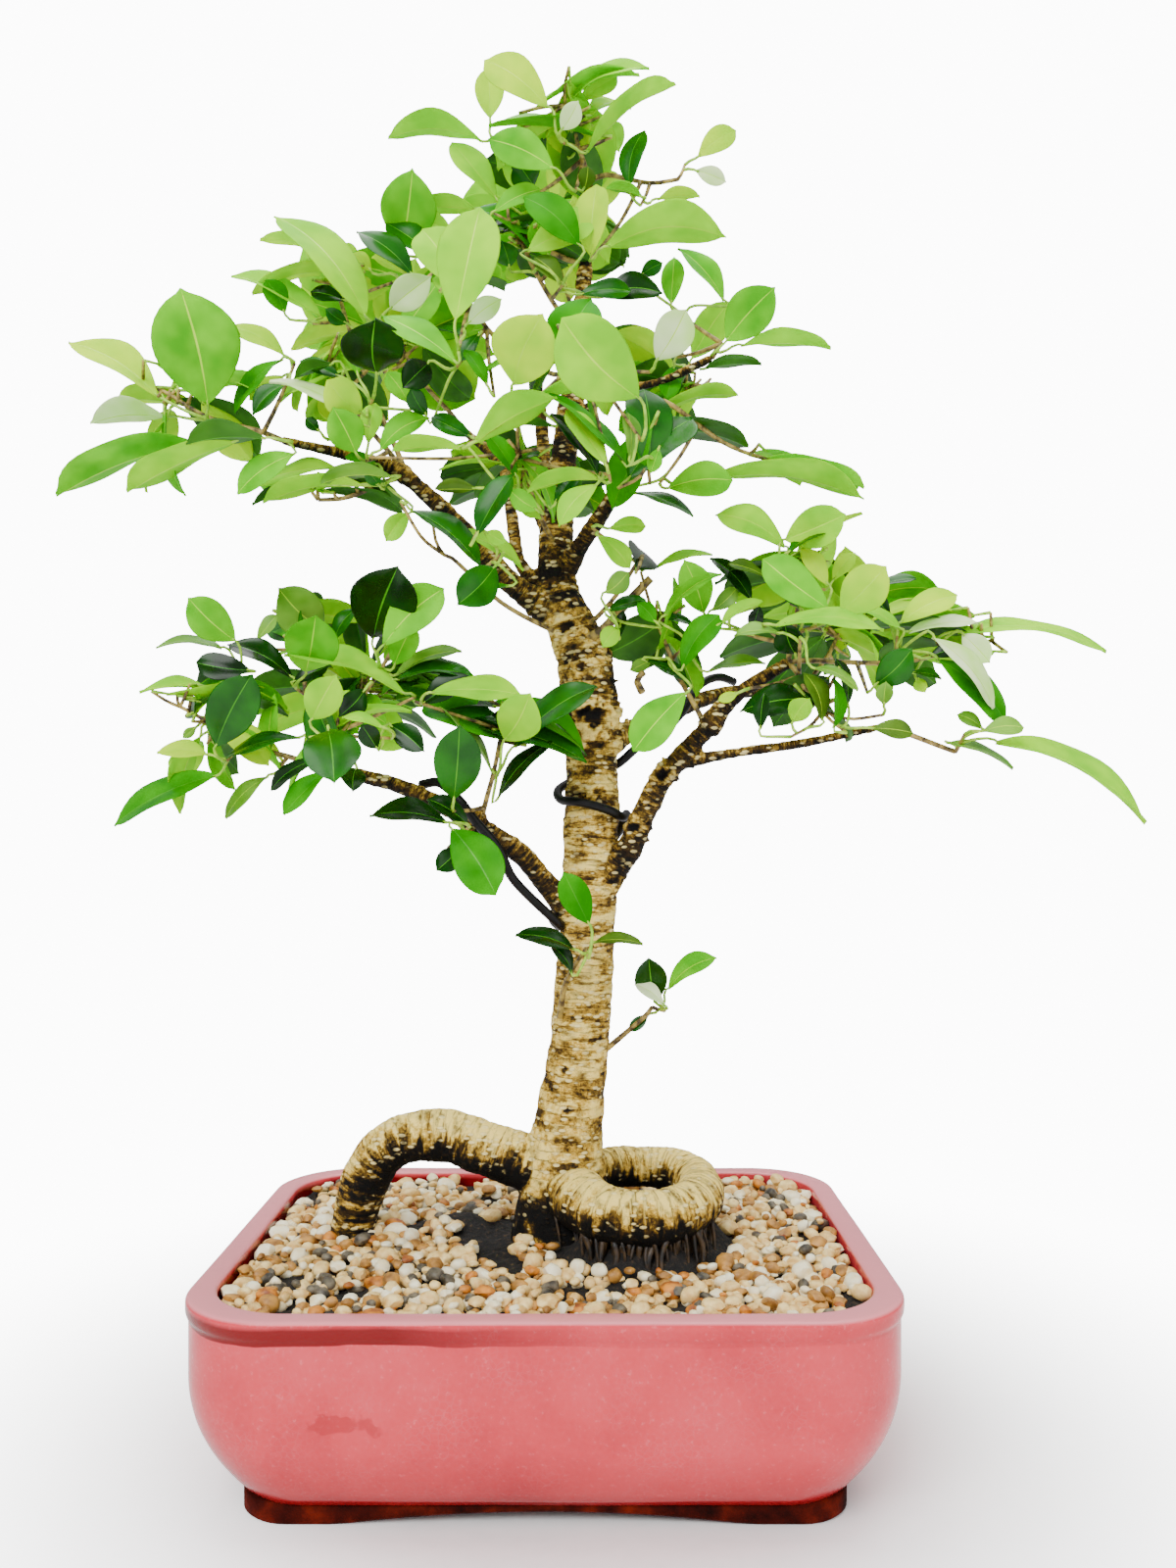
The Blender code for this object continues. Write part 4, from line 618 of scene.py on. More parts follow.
def ficus_bark(bark):
    """Thin grey-tan bark: ringed with wrinkles, dotted with raised corky lenticels, black in creases, partly
    as its own colour and partly as painted shade, and with painted shade on undersides and near the soil.
    """
    mat, shader, spot = new_material("wrinkled ficus bark", 0.8, IOR=1.3)
    height = add(mat, "ShaderNodeAttribute", attribute_name="relief").outputs["Fac"]
    # painted shade, with some darker tone of the bark itself, kept at each point
    shade_and_tone = add(mat, "ShaderNodeAttribute", attribute_name="shade_and_tone").outputs["Fac"]
    flow = add(mat, "ShaderNodeAttribute", attribute_name="flow").outputs["Vector"]
    rings = add(mat, "ShaderNodeTexNoise", {"Vector": flow, "Scale": 1.0, "Detail": 5.0,
                                            "Roughness": 0.75}).outputs["Fac"]
    both = add(mat, "ShaderNodeMix", {"Factor": 0.6, "A": clouds(mat, spot, 2.6, 5.0, 0.8), "B": rings},
               data_type="FLOAT").outputs[0]
    lifted = maths(mat, "MULTIPLY_ADD", remap(mat, both, 0.36, 0.64), 0.42, height)
    # painted shade takes the colour down towards the crack colour
    relief_less_shade = maths(mat, "MULTIPLY_ADD", shade_and_tone, -0.36, lifted)
    color = ramp(mat, relief_less_shade, (0.45, bark.crack), (0.55, bark.shade), (0.66, bark.body), (0.8, bark.pale))

    plates = add(mat, "ShaderNodeTexVoronoi", {"Vector": flow, "Scale": 0.42}, feature="DISTANCE_TO_EDGE")
    seam = ramp(mat, plates.outputs["Distance"], (0.0, 0.85), (0.05, 0.5), (0.11, 0.0))
    broken = ramp(mat, rings, (0.45, 1.0), (0.6, 0.1))
    color = blend(mat, maths(mat, "MULTIPLY", seam, broken), color, "#3A2604")

    flat = add(mat, "ShaderNodeMapping", {"Vector": spot, "Scale": (1.0, 1.0, 2.2)})
    warts = add(mat, "ShaderNodeTexVoronoi", {"Vector": flat.outputs["Vector"], "Scale": per_mm(4.8)})
    wart = ramp(mat, warts.outputs["Distance"], (0.28, 1.0), (0.36, 0.0))
    where = ramp(mat, clouds(mat, spot, 11.0, 1.0), (0.4, 0.0), (0.52, 0.85))
    corky = maths(mat, "MULTIPLY", wart, where)
    color = blend(mat, corky, color, "#FFEA9E")
    # painted shade: the most shaded places go nearly black
    color = blend(mat, 1.0, color, ramp(mat, shade_and_tone, (0.55, 1.0), (0.9, "#1C1408")), "MULTIPLY")

    link(mat, color, shader, "Base Color")
    emboss(mat, shader, maths(mat, "MULTIPLY_ADD", corky, 0.5, both), 1.0, 1.2)
    return mat


def young_bark(name, dark, light):
    """Bark of twigs and shoots: thin, smooth and faintly flecked."""
    return clouded(name, 0.5, 3.0, 4.0, (0.38, dark), (0.62, light))[0]


def living_leaf(name, dark, light, roughness, glow):
    """Waxy living leaf: a soft sheen over a blade that varies a little; young blades let light through."""
    mat, shader, _, color = clouded(name, roughness, 16.0, 2.0, (0.35, dark), (0.65, light),
                                    IOR=1.12 if glow else 1.3)
    if glow:
        through = add(mat, "ShaderNodeBsdfTranslucent", {"Color": color})
        both = add(mat, "ShaderNodeMixShader",
                   {0: glow, 1: shader.outputs["BSDF"], 2: through.outputs["BSDF"]})
        show(mat, both.outputs["Shader"])
    return mat


def oxidised_wire(wire):
    """Annealed training wire: soft metal under a dull black oxide, clouded a little."""
    return clouded("black oxide on annealed wire", 0.42, 5.0, 5.0, (0.45, wire.color), (0.75, "#101011"),
                   IOR=1.3)[0]


def matt_paint(stage):
    """Emulsion paint on a studio floor: flat and pale near the object, lost in white light further off."""
    mat, shader, spot, _ = clouded("matt emulsion paint", 0.9, 8.0, 2.0, (0.3, "#FAFAFA"), (0.7, stage.floor))
    away = add(mat, "ShaderNodeVectorMath", {0: spot}, operation="LENGTH")
    far = remap(mat, away.outputs["Value"], *FLOOR_FADE, interpolation_type="SMOOTHSTEP")
    ray = add(mat, "ShaderNodeLightPath")
    fade = maths(mat, "MULTIPLY", far, ray.outputs["Is Camera Ray"])
    glow = add(mat, "ShaderNodeEmission", {"Strength": BACKDROP})
    both = add(mat, "ShaderNodeMixShader", {0: fade, 1: shader.outputs["BSDF"], 2: glow.outputs["Emission"]})
    show(mat, both.outputs["Shader"])
    return mat


# Tones of leaf: darker and lighter sRGB value, roughness, share of light let through. Some tones carry light
# and shade painted into the colour: Y is young and painted as sunlit, K is old and painted as shaded, S
# carries a painted sheen and P a painted highlight.
LEAF_TONES = {
    "Y": ("sunlit young leaf", "#B4EC00", "#D8FC00", 0.5, 0.3),
    "L": ("lime leaf", "#8CE000", "#B6F800", 0.48, 0.28),
    "F": ("fresh green leaf", "#4AB000", "#7ADA00", 0.4, 0.15),
    "G": ("mature green leaf", "#1A7600", "#389A00", 0.32, 0.05),
    "D": ("deep green leaf", "#084800", "#186800", 0.26, 0.0),
    "K": ("old leaf in shade", "#032000", "#083C00", 0.24, 0.0),
    "O": ("olive leaf underside", "#2E5004", "#527A0C", 0.5, 0.0),
    # painted sheen: lighter greens stand for a reflection
    "S": ("leaf with a painted sheen", "#4E8A14", "#7CB434", 0.34, 0.0),
    # painted highlight: nearly white greens stand for glare
    "P": ("pale leaf with a painted highlight", "#C8F484", "#EEFFC8", 0.4, 0.15),
}
RIB_LIGHT = "light midrib"
RIB_DARK = "pale green midrib"


# ---------------------------------------------------------------- geometry helpers

def place(points):
    """Millimetres from the pot's middle to the frame's metres."""
    return (np.asarray(points, float) + (MIDDLE.x, MIDDLE.y, 0.0)) * MM


def seen(u, v, depth):
    """The point that the front view shows at (u, v), at a depth behind the pot's middle."""
    scale = (depth - EYE[1]) / FOCAL_PIXELS
    return Vector((EYE[0] + (u - PICTURE_WIDTH / 2.0) * scale, depth, EYE[2] + (HORIZON - v) * scale))


def in_the_open(p):
    """True where the front view shows a point in one of the crown's open windows."""
    scale = (p.y - EYE[1]) / FOCAL_PIXELS
    u = PICTURE_WIDTH / 2.0 + (p.x - EYE[0]) / scale
    v = HORIZON - (p.z - EYE[2]) / scale
    return any(u0 < u < u1 and v0 < v < v1 for u0, v0, u1, v1 in SKY)


def smooth_path(points, step):
    """Evenly spaced points on a Catmull-Rom curve; each point may carry a radius as a fourth value."""
    rows = [tuple(float(v) for v in p) for p in points]
    first = tuple(2 * a - b for a, b in zip(rows[0], rows[1]))
    last = tuple(2 * a - b for a, b in zip(rows[-1], rows[-2]))
    rows = [first] + rows + [last]
    fine = []
    for i in range(1, len(rows) - 2):
        for k in range(12):
            t = k / 12.0
            fine.append([0.5 * (2 * b + (c - a) * t + (2 * a - 5 * b + 4 * c - d) * t * t
                                + (3 * b - a - 3 * c + d) * t ** 3)
                         for a, b, c, d in zip(*rows[i - 1:i + 3])])
    fine.append(list(rows[-2]))
    lengths = [0.0]
    for a, b in zip(fine, fine[1:]):
        lengths.append(lengths[-1] + math.dist(a[:3], b[:3]))
    count = max(2, round(lengths[-1] / step))
    path, j = [], 0
    for i in range(count + 1):
        want = lengths[-1] * i / count
        while j < len(lengths) - 2 and lengths[j + 1] < want:
            j += 1
        share = (want - lengths[j]) / max(lengths[j + 1] - lengths[j], 1e-9)
        path.append([a + (b - a) * share for a, b in zip(fine[j], fine[j + 1])])
    return path


def tapered(points, base, tip, step):
    """A smooth path whose radius falls evenly from base to tip."""
    path = smooth_path(points, step)
    return [(*p[:3], base + (tip - base) * i / (len(path) - 1)) for i, p in enumerate(path)]


def tangent_at(path, i):
    a, b = path[max(i - 1, 0)], path[min(i + 1, len(path) - 1)]
    return (Vector(b[:3]) - Vector(a[:3])).normalized()


def segment_distance(p, a, b):
    """Distance from p to the segment from a to b, and the share of the way along it."""
    ab = b - a
    share = max(0.0, min(1.0, (p - a).dot(ab) / max(ab.length_squared, 1e-9)))
    return (p - a - ab * share).length, share


def clear_of(path, p, clearance):
    """True when p stays outside the limb by at least the clearance."""
    for a, b in zip(path, path[1:]):
        distance, share = segment_distance(p, Vector(a[:3]), Vector(b[:3]))
        if distance < a[3] + (b[3] - a[3]) * share + clearance:
            return False
    return True


def bands(rings, count, closed=False):
    """Faces from each ring of points to the next, and from the last to the first where they close."""
    faces = []
    for i in range(rings if closed else rings - 1):
        n = (i + 1) % rings
        for k in range(count):
            j = (k + 1) % count
            faces.append((i * count + k, i * count + j, n * count + j, n * count + k))
    return faces


class Skin:
    """Faces gathered for one joined mesh, in millimetres, each with its material's place in a list."""

    def __init__(self):
        self.points, self.faces, self.slots = [], [], []

    def add(self, points, faces, slot=0):
        first = len(self.points)
        self.points.extend(points)
        self.faces.extend([first + i for i in face] for face in faces)
        self.slots.extend(slot if isinstance(slot, list) else [slot] * len(faces))

    def loft(self, rings):
        """A skin over rings of points, closed at both ends."""
        count = len(rings[0])
        last = (len(rings) - 1) * count
        ends = [tuple(reversed(range(count))), tuple(last + k for k in range(count))]
        self.add([p for ring in rings for p in ring], bands(len(rings), count) + ends)

    def tube(self, path, sides):
        """A round tube with closed ends along (x, y, z, radius) rows."""
        rings, across = [], None
        for i, row in enumerate(path):
            along = tangent_at(path, i)
            if across is None:
                across = along.orthogonal().normalized()
            across = (across - along * across.dot(along)).normalized()
            normal = along.cross(across)
            centre = Vector(row[:3])
            rings.append([centre + (across * math.cos(a) + normal * math.sin(a)) * row[3]
                          for a in (math.tau * k / sides for k in range(sides))])
        self.loft(rings)

    def build(self, name, materials):
        """The object; its points are moved into the frame."""
        mesh = bpy.data.meshes.new(name)
        mesh.from_pydata(place([tuple(p) for p in self.points]).tolist(), [], self.faces)
        for mat in materials:
            mesh.materials.append(mat)
        mesh.polygons.foreach_set("material_index", self.slots)
        mesh.polygons.foreach_set("use_smooth", [True] * len(self.faces))
        mesh.validate()
        mesh.update()
        obj = bpy.data.objects.new(name, mesh)
        bpy.context.scene.collection.objects.link(obj)
        return obj


def settle(obj, slot, *nodes):
    """The piece rides on the plant and stands for the solids named; its slot is not used."""
    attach(obj, "root")
    if nodes:
        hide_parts(*nodes)
    return obj


# ---------------------------------------------------------------- pot

def rounded_rectangle(half_width, half_depth, corner, steps=14, along=10):
    """Points round a rounded rectangle, anticlockwise, with the straight sides cut too."""
    outline = []
    for quarter in range(4):
        sx = 1 if quarter in (0, 3) else -1
        sy = 1 if quarter in (0, 1) else -1
        for k in range(steps + 1):
            angle = math.pi / 2 * (quarter + k / steps)
            outline.append((sx * (half_width - corner) + corner * math.cos(angle),
                            sy * (half_depth - corner) + corner * math.sin(angle)))
        ax, ay = outline[-1]
        bx, by = ((-(half_width - corner), half_depth), (-half_width, -(half_depth - corner)),
                  (half_width - corner, -half_depth), (half_width, half_depth - corner))[quarter]
        outline += [(ax + (bx - ax) * k / along, ay + (by - ay) * k / along) for k in range(1, along)]
    return outline


def outer_inset(z):
    """How far the pot's outer wall stands in from the rim: a bowl that tucks in to the foot."""
    tuck = max(0.0, 1.0 - (z - FOOT_HEIGHT) / (TUCK_SHARE * (RIM_HEIGHT - FOOT_HEIGHT)))
    return TUCK_DEPTH * tuck ** TUCK_CURVE


def pot_profile():
    """Inset and height from the outer foot, up the wall, over the lip and down inside."""
    top = RIM_HEIGHT - LIP_HEIGHT
    heights = [FOOT_HEIGHT + (top - FOOT_HEIGHT) * k / 22 for k in range(23)]
    rows = [(outer_inset(z) + 1.0, z) for z in heights]
    rows += [(0.95, top + 0.7), (0.45, top + 1.5), (0.1, top + 2.6), (0.0, top + 3.8)]
    rows += [(1.9 - 1.9 * math.cos(a), RIM_HEIGHT - 1.9 + 1.9 * math.sin(a))
             for a in (math.pi / 2 * k / 5 for k in range(6))]
    rows += [(LIP_WIDTH - 1.6 + 1.6 * math.sin(a), RIM_HEIGHT - 1.6 + 1.6 * math.cos(a))
             for a in (math.pi / 2 * k / 4 for k in range(5))]
    inner = GRAVEL_LEVEL - 14.0
    rows += [(max(outer_inset(z) + WALL, LIP_WIDTH), z)
             for z in (RIM_HEIGHT - 4.0 - (RIM_HEIGHT - 4.0 - inner) * k / 6 for k in range(7))]
    floor = FOOT_HEIGHT + FLOOR_THICKNESS
    rows += [(outer_inset(z) + WALL, z) for z in (inner - 10.0, floor + 12.0, floor + 3.0)]
    rows.append((outer_inset(floor) + WALL + 3.0, floor))
    return rows


def make_pot_mesh(mat):
    """The bowl with its lip, turned a little uneven as clay is."""
    rings = []
    for inset, z in pot_profile():
        corner = max(POT_CORNER - inset * 0.5, 6.0)
        ring = rounded_rectangle(POT_HALF_WIDTH - inset, POT_HALF_DEPTH - inset, corner)
        rings.append([Vector((x, y, z + 0.25 * noise.noise(Vector((x, y, z)) / 38.0))) for x, y in ring])
    skin = Skin()
    skin.loft(rings)
    return skin.build("glazed_pot", [mat])


def make_foot_mesh(mat):
    """The bare ring under the pot, arched between its four corner feet, with softened edges."""
    half_width = POT_HALF_WIDTH - FOOT_INSET
    half_depth = POT_HALF_DEPTH - FOOT_INSET
    rings = []
    for inset, top, soft in ((0.0, True, 0.0), (0.0, False, 1.0), (0.9, False, 0.0),
                             (FOOT_RING_WIDTH - 0.9, False, 0.0), (FOOT_RING_WIDTH, False, 1.0),
                             (FOOT_RING_WIDTH, True, 0.0)):
        row = []
        for x, y in rounded_rectangle(half_width - inset, half_depth - inset, FOOT_CORNER - inset * 0.5,
                                      steps=10, along=24):
            along = x / half_width if abs(y) > half_depth - FOOT_RING_WIDTH - 1.0 else y / half_depth
            share = abs(along) / ARCH_REACH
            lift = ARCH_HEIGHT * (1.0 - share * share) if share < 1.0 else 0.0
            row.append(Vector((x, y, FOOT_HEIGHT if top else lift + soft)))
        rings.append(row)
    faces = bands(len(rings), len(rings[0]), closed=True)
    skin = Skin()
    skin.add([p for ring in rings for p in ring], [tuple(reversed(face)) for face in faces])
    return skin.build("clay_foot_ring", [mat])


class BONSAI_OT_pot(bpy.types.Operator):
    """Make the glazed pot and its bare clay foot"""
    bl_idname = "bonsai.make_pot"
    bl_label = "Pot"

    def execute(self, context):
        pot = context.scene.bonsai_pot
        settle(make_pot_mesh(rose_crackle_glaze(pot)), "rose_glaze", "pot_body")
        settle(make_foot_mesh(unglazed_clay(pot)), "unglazed_clay", "pot_foot")
        return {"FINISHED"}


# ---------------------------------------------------------------- limbs

class Limbs:
    """Paths of the trunk, roots and boughs as (x, y, z, radius) rows."""

    def __init__(self, step):
        self.trunk = smooth_path(TRUNK, step)
        self.paths = {"trunk": self.trunk}
        for name, (_, points, base, tip) in BOUGHS.items():
            self.paths[name] = tapered(points, base, tip, step)
        self.roots = {"arch": tapered(ROOT_ARCH, *ROOT_ARCH_RADII, step),
                      "loop": tapered(ROOT_LOOP, *ROOT_LOOP_RADII, step)}


def radius_at_height(path, z):
    """Centre and radius of the trunk at a height."""
    for a, b in zip(path, path[1:]):
        if a[2] <= z <= b[2]:
            share = (z - a[2]) / (b[2] - a[2])
            return [u + (v - u) * share for u, v in zip(a, b)]
    raise ValueError(f"the trunk does not reach {z} mm")


def collared(path, carrier_radius):
    """A bough swells into a collar where it leaves its carrier."""
    rows, run = [], 0.0
    for i, row in enumerate(path):
        if i:
            run += math.dist(row[:3], path[i - 1][:3])
        swell = 0.45 * math.exp(-(max(0.0, run - carrier_radius) / 5.0) ** 1.3)
        rows.append((*row[:3], row[3] * (1.0 + swell)))
    return rows


# Eyes and scars, where a twig once stood or was cut: place (x, y, z), size and depth
SCARS = [((19, -12, 292), 9.5, 3.0), ((13, -12, 312), 4.5, 1.8), ((20, -11, 262), 4.4, 1.6),
         ((24, -10, 224), 4.6, 1.4), ((6, -11, 211), 4.2, 1.3), ((19, -11, 160), 3.6, 1.1),
         ((4, -11, 172), 3.2, 1.0), ((26, -6, 319), 5.0, 1.8), ((30, -9, 236), 4.0, 1.0),
         ((8, -14, 132), 3.8, 0.9), ((15, 12, 240), 5.0, 1.4), ((4, 13, 180), 4.0, 1.2),
         ((6, -12, 148), 3.4, 1.0), ((6, -10, 329), 5.5, 2.0), ((45, -19, 268), 4.2, 2.4),
         ((35, -14, 247), 3.8, 1.8)]


TRUNK_BARK, BOUGH_BARK, ROOT_BARK = range(3)


def limb_rows(limbs):
    """Every limb's segments as arrays: ends, radii, distance along, and the kind of bark."""
    starts, ends, radii, runs, kinds = [], [], [], [], []
    for name, path in [*limbs.paths.items(), *limbs.roots.items()]:
        kind = TRUNK_BARK if name == "trunk" else ROOT_BARK if name in limbs.roots else BOUGH_BARK
        run = 0.0
        for a, b in zip(path, path[1:]):
            starts.append(a[:3])
            ends.append(b[:3])
            radii.append((a[3] + b[3]) / 2.0)
            runs.append(run)
            kinds.append(kind)
            run += math.dist(a[:3], b[:3])
    return (np.array(v, float) for v in (starts, ends, radii, runs, kinds))


def nearest_limb(points, limbs):
    """For each point: run along its limb, the limb's direction, offset from its axis, radius and kind."""
    starts, ends, radii, runs, kinds = limb_rows(limbs)
    spans = ends - starts
    lengths = np.maximum((spans ** 2).sum(1), 1e-9)
    found = []
    for low in range(0, len(points), 8000):
        p = points[low:low + 8000]
        offset = p[:, None, :] - starts[None]
        share = np.clip((offset * spans[None]).sum(2) / lengths[None], 0.0, 1.0)
        gap = np.sqrt(((offset - spans[None] * share[..., None]) ** 2).sum(2)) - radii[None]
        best = gap.argmin(1)
        rows = np.arange(len(p))
        way = spans[best] / np.sqrt(lengths[best])[:, None]
        run = runs[best] + share[rows, best] * np.sqrt(lengths[best])
        aside = offset[rows, best] - spans[best] * share[rows, best][:, None]
        found.append((run, way, aside, radii[best], kinds[best]))
    return (np.concatenate(v) for v in zip(*found))


RING_PITCH = 1.5                # distance between the fine wrinkles round a limb
RING_LENGTH = 8.0               # how far a wrinkle runs before it breaks
LIMB_SIDES = 20
SOFTENING = 7                   # rounds of smoothing where limbs grow together


def bark_relief(points, normals, limbs):
    """How far each point of the bark is raised, in millimetres, how much painted shade and darker tone it
    takes, and its wrinkle grid.
    """
    run, way, aside, size, kind = nearest_limb(points, limbs)
    flow = aside / RING_LENGTH + way * (run / RING_PITCH)[:, None]
    coarse = aside / 15.0 + way * (run / 6.0)[:, None]
    rise = np.zeros(len(points))
    shade_and_tone = np.zeros(len(points))
    for i, (p, n) in enumerate(zip(points, normals)):
        spot = Vector(p)
        lump = noise.noise(spot / 11.0)
        grain = noise.noise(spot / 2.1)
        fold = noise.noise(Vector(coarse[i]))
        streak = noise.noise(Vector(flow[i]))
        if kind[i] == TRUNK_BARK:
            high = min(1.0, max(0.0, (p[2] - 230.0) / 90.0))
            low = min(1.0, max(0.0, (106.0 - p[2]) / 16.0))
            rise[i] = 0.8 * lump + 0.55 * fold + 0.28 * streak + (0.2 + 0.35 * high) * grain
            # painted shade: darker near the soil, most on faces turned down; also darker up towards the crown
            # and in random folds
            shade_and_tone[i] = 0.12 + 0.34 * high - 0.5 * fold + low * (0.9 + 0.8 * streak - 0.5 * n[2])
        elif kind[i] == ROOT_BARK:
            knob = noise.noise(spot / 6.0)
            rise[i] = 1.0 * lump + 0.35 * fold + 0.3 * streak + 0.5 * max(0.0, knob) + 0.2 * grain
            # painted shade on the roots' undersides, broken by streaks
            shade_and_tone[i] = 0.5 - 1.05 * n[2] + 0.8 * streak
        else:
            wart = noise.noise(spot / 2.9)
            rise[i] = min(1.0, size[i] / 3.0) * (0.6 * lump + 0.5 * max(0.0, wart) + 0.3 * grain)
            # painted shade on the boughs' undersides
            shade_and_tone[i] = 0.56 - 0.3 * n[2]
    ragged = np.array([noise.noise(Vector(p) / 3.4) + 0.5 * noise.noise(Vector(p) / 1.5) for p in points])
    for centre, reach, deep in SCARS:
        away = points - np.array(centre, float)
        away = np.sqrt((away ** 2 * (0.8, 1.0, 2.4)).sum(1)) / reach * (1.0 + 0.8 * ragged)
        ring = np.exp(-((away - 0.9) / 0.3) ** 2)
        eye = np.exp(-(away / 0.55) ** 2)
        rise += deep * (0.6 * ring - 0.6 * eye)
        shade_and_tone += 0.5 * eye
    return rise, np.clip(shade_and_tone, -0.4, 1.0), flow


def read(rows, what):
    """One vector from each row of a mesh's data."""
    values = np.empty(len(rows) * 3, np.float32)
    rows.foreach_get(what, values)
    return values.reshape(-1, 3).astype(float)


def apply_modifiers(obj):
    """Leave the object with the mesh that its modifiers make."""
    bpy.context.view_layer.update()
    mesh = bpy.data.meshes.new_from_object(obj.evaluated_get(bpy.context.evaluated_depsgraph_get()))
    old = obj.data
    obj.modifiers.clear()
    obj.data = mesh
    bpy.data.meshes.remove(old)


def paint(mesh, name, values):
    """Keep a value or a vector at each point, for the material."""
    kind, field = ("FLOAT", "value") if values.ndim == 1 else ("FLOAT_VECTOR", "vector")
    layer = mesh.attributes.new(name, kind, "POINT")
    layer.data.foreach_set(field, values.astype(np.float32).ravel())


def make_bark_mesh(limbs, voxel, mat):
    """Trunk, roots and boughs grown into one skin, then wrinkled."""
    skin = Skin()
    skin.tube(limbs.trunk, LIMB_SIDES)
    for path in limbs.roots.values():
        skin.tube(path, LIMB_SIDES)
    for name, path in limbs.paths.items():
        if name != "trunk":
            carrier = limbs.paths[BOUGHS[name][0]]
            near = min(carrier, key=lambda row: math.dist(row[:3], path[0][:3]))
            skin.tube(collared(path, near[3]), LIMB_SIDES)
    bark = skin.build("bark", [mat])
    blend = bark.modifiers.new("skin", "REMESH")
    blend.mode = "VOXEL"
    blend.voxel_size = voxel
    soften = bark.modifiers.new("soften", "SMOOTH")
    soften.factor = 0.5
    soften.iterations = SOFTENING
    apply_modifiers(bark)
    mesh = bark.data
    if not mesh.materials:
        mesh.materials.append(mat)
    points = read(mesh.vertices, "co") / MM - (MIDDLE.x, MIDDLE.y, 0.0)
    normals = read(mesh.vertex_normals, "vector")
    rise, shade_and_tone, flow = bark_relief(points, normals, limbs)
    raised = place(points + normals * rise[:, None])
    mesh.vertices.foreach_set("co", raised.astype(np.float32).ravel())
    mesh.update()
    paint(mesh, "relief", np.clip(0.5 + rise * 0.16, 0.0, 1.0))
    paint(mesh, "shade_and_tone", shade_and_tone)
    paint(mesh, "flow", flow)
    mesh.polygons.foreach_set("use_smooth", [True] * len(mesh.polygons))
    return bark


class BONSAI_OT_bark(bpy.types.Operator):
    """Grow the trunk, surface roots and boughs into one wrinkled skin of bark"""
    bl_idname = "bonsai.make_bark"
    bl_label = "Trunk, roots and boughs"

    def execute(self, context):
        settings = context.scene.bonsai_bark
        bark = make_bark_mesh(Limbs(LIMB_STEP), settings.voxel, ficus_bark(settings))
        settle(bark, "ficus_bark", "trunk", *ROOT_NODES, *BOUGHS)
        return {"FINISHED"}


# ---------------------------------------------------------------- wire

def wire_path(trunk, step):
    """The wire's own line; its turns stand just clear of the trunk."""
    round_trunk = []
    for turn, z in WIRE_TURNS:
        cx, cy, _, radius = radius_at_height(trunk, z)
        reach = radius + WIRE_RADIUS + WIRE_SLACK
        angle = math.radians(turn)
        round_trunk.append((cx + reach * math.cos(angle), cy + reach * math.sin(angle), z))
    return smooth_path(WIRE_OVER_LEFT + round_trunk + WIRE_ALONG_REAR, step)


class BONSAI_OT_wire(bpy.types.Operator):
    """Wind the training wire over the left bough, round the trunk and along the rear right bough"""
    bl_idname = "bonsai.make_wire"
    bl_label = "Training wire"

    def execute(self, context):
        settings = context.scene.bonsai_wire
        skin = Skin()
        path = wire_path(Limbs(WIND_STEP).trunk, WIRE_STEP)
        skin.tube([(*p[:3], settings.radius / MM) for p in path], WIRE_SIDES)
        settle(skin.build("annealed_wire", [oxidised_wire(settings)]), "black_wire", "training_wire")
        return {"FINISHED"}


# ---------------------------------------------------------------- soil and gravel

def ground_height(x, y):
    """Surface of the gravel: gently uneven and drawn up round the trunk."""
    height = GRAVEL_LEVEL - 2.2 + 1.8 * noise.noise(Vector((x, y, 0.0)) / 34.0)
    height += 1.5 * math.exp(-((x - 5.0) ** 2 + y * y) / 1600.0)
    return height


# Heaps of bare soil, whose dark soil stands in as painted shade under the roots and at the trunk's foot:
# middle, half spread across and to the back, height
SOIL_HEAPS = [
    ((8.0, -10.0), (26.0, 20.0), 9.0),       # round the trunk's foot
    ((-40.0, 20.0), (20.0, 11.0), 7.5),      # under the arched root
    ((-74.0, -2.0), (9.0, 12.0), 6.5),       # at the arched root's leg
]
LOOP_HEAP = (11.0, 13.0)        # spread and height of the heap along the looped root


def soil_mound(x, y):
    """Bare dark soil: heaped under the looped root and the trunk's foot, and in a patch under the arch, where
    it stands in as painted shade.
    """
    nearest = min(math.dist((x, y), p[:2]) for p in ROOT_LOOP)
    along_loop = LOOP_HEAP[1] * math.exp(-(nearest / LOOP_HEAP[0]) ** 2)
    heaps = [height * math.exp(-((x - cx) / across) ** 2 - ((y - cy) / back) ** 2)
             for (cx, cy), (across, back), height in SOIL_HEAPS]
    return max(along_loop, *heaps)


def make_soil_mesh(mat):
    """A crumbly bed that fills the pot to just under the pebbles."""
    half_width = POT_HALF_WIDTH - LIP_WIDTH - 0.6
    half_depth = POT_HALF_DEPTH - LIP_WIDTH - 0.6
    outline = rounded_rectangle(half_width, half_depth, POT_CORNER - LIP_WIDTH * 0.5)
    rings = [[Vector((x * 0.9, y * 0.9, GRAVEL_LEVEL - 30.0)) for x, y in outline]]
    for k in range(40, -1, -1):
        share = k / 40.0
        ring = []
        for x, y in outline:
            px, py = x * share, y * share
            z = ground_height(px, py) - 3.0 + soil_mound(px, py) * (1.0 - share ** 6)
            ring.append(Vector((px, py, z + 1.5 * noise.noise(Vector((px, py, 0.0)) / 3.2))))
        rings.append(ring)
    count = len(outline)
    points = [p for ring in rings[:-1] for p in ring] + [rings[-1][0]]
    centre = len(points) - 1
    faces = bands(len(rings) - 1, count)
    last = (len(rings) - 2) * count
    faces += [(last + k, last + (k + 1) % count, centre) for k in range(count)]
    faces.append(tuple(reversed(range(count))))
    skin = Skin()
    skin.add(points, faces)
    return skin.build("soil_bed", [mat])


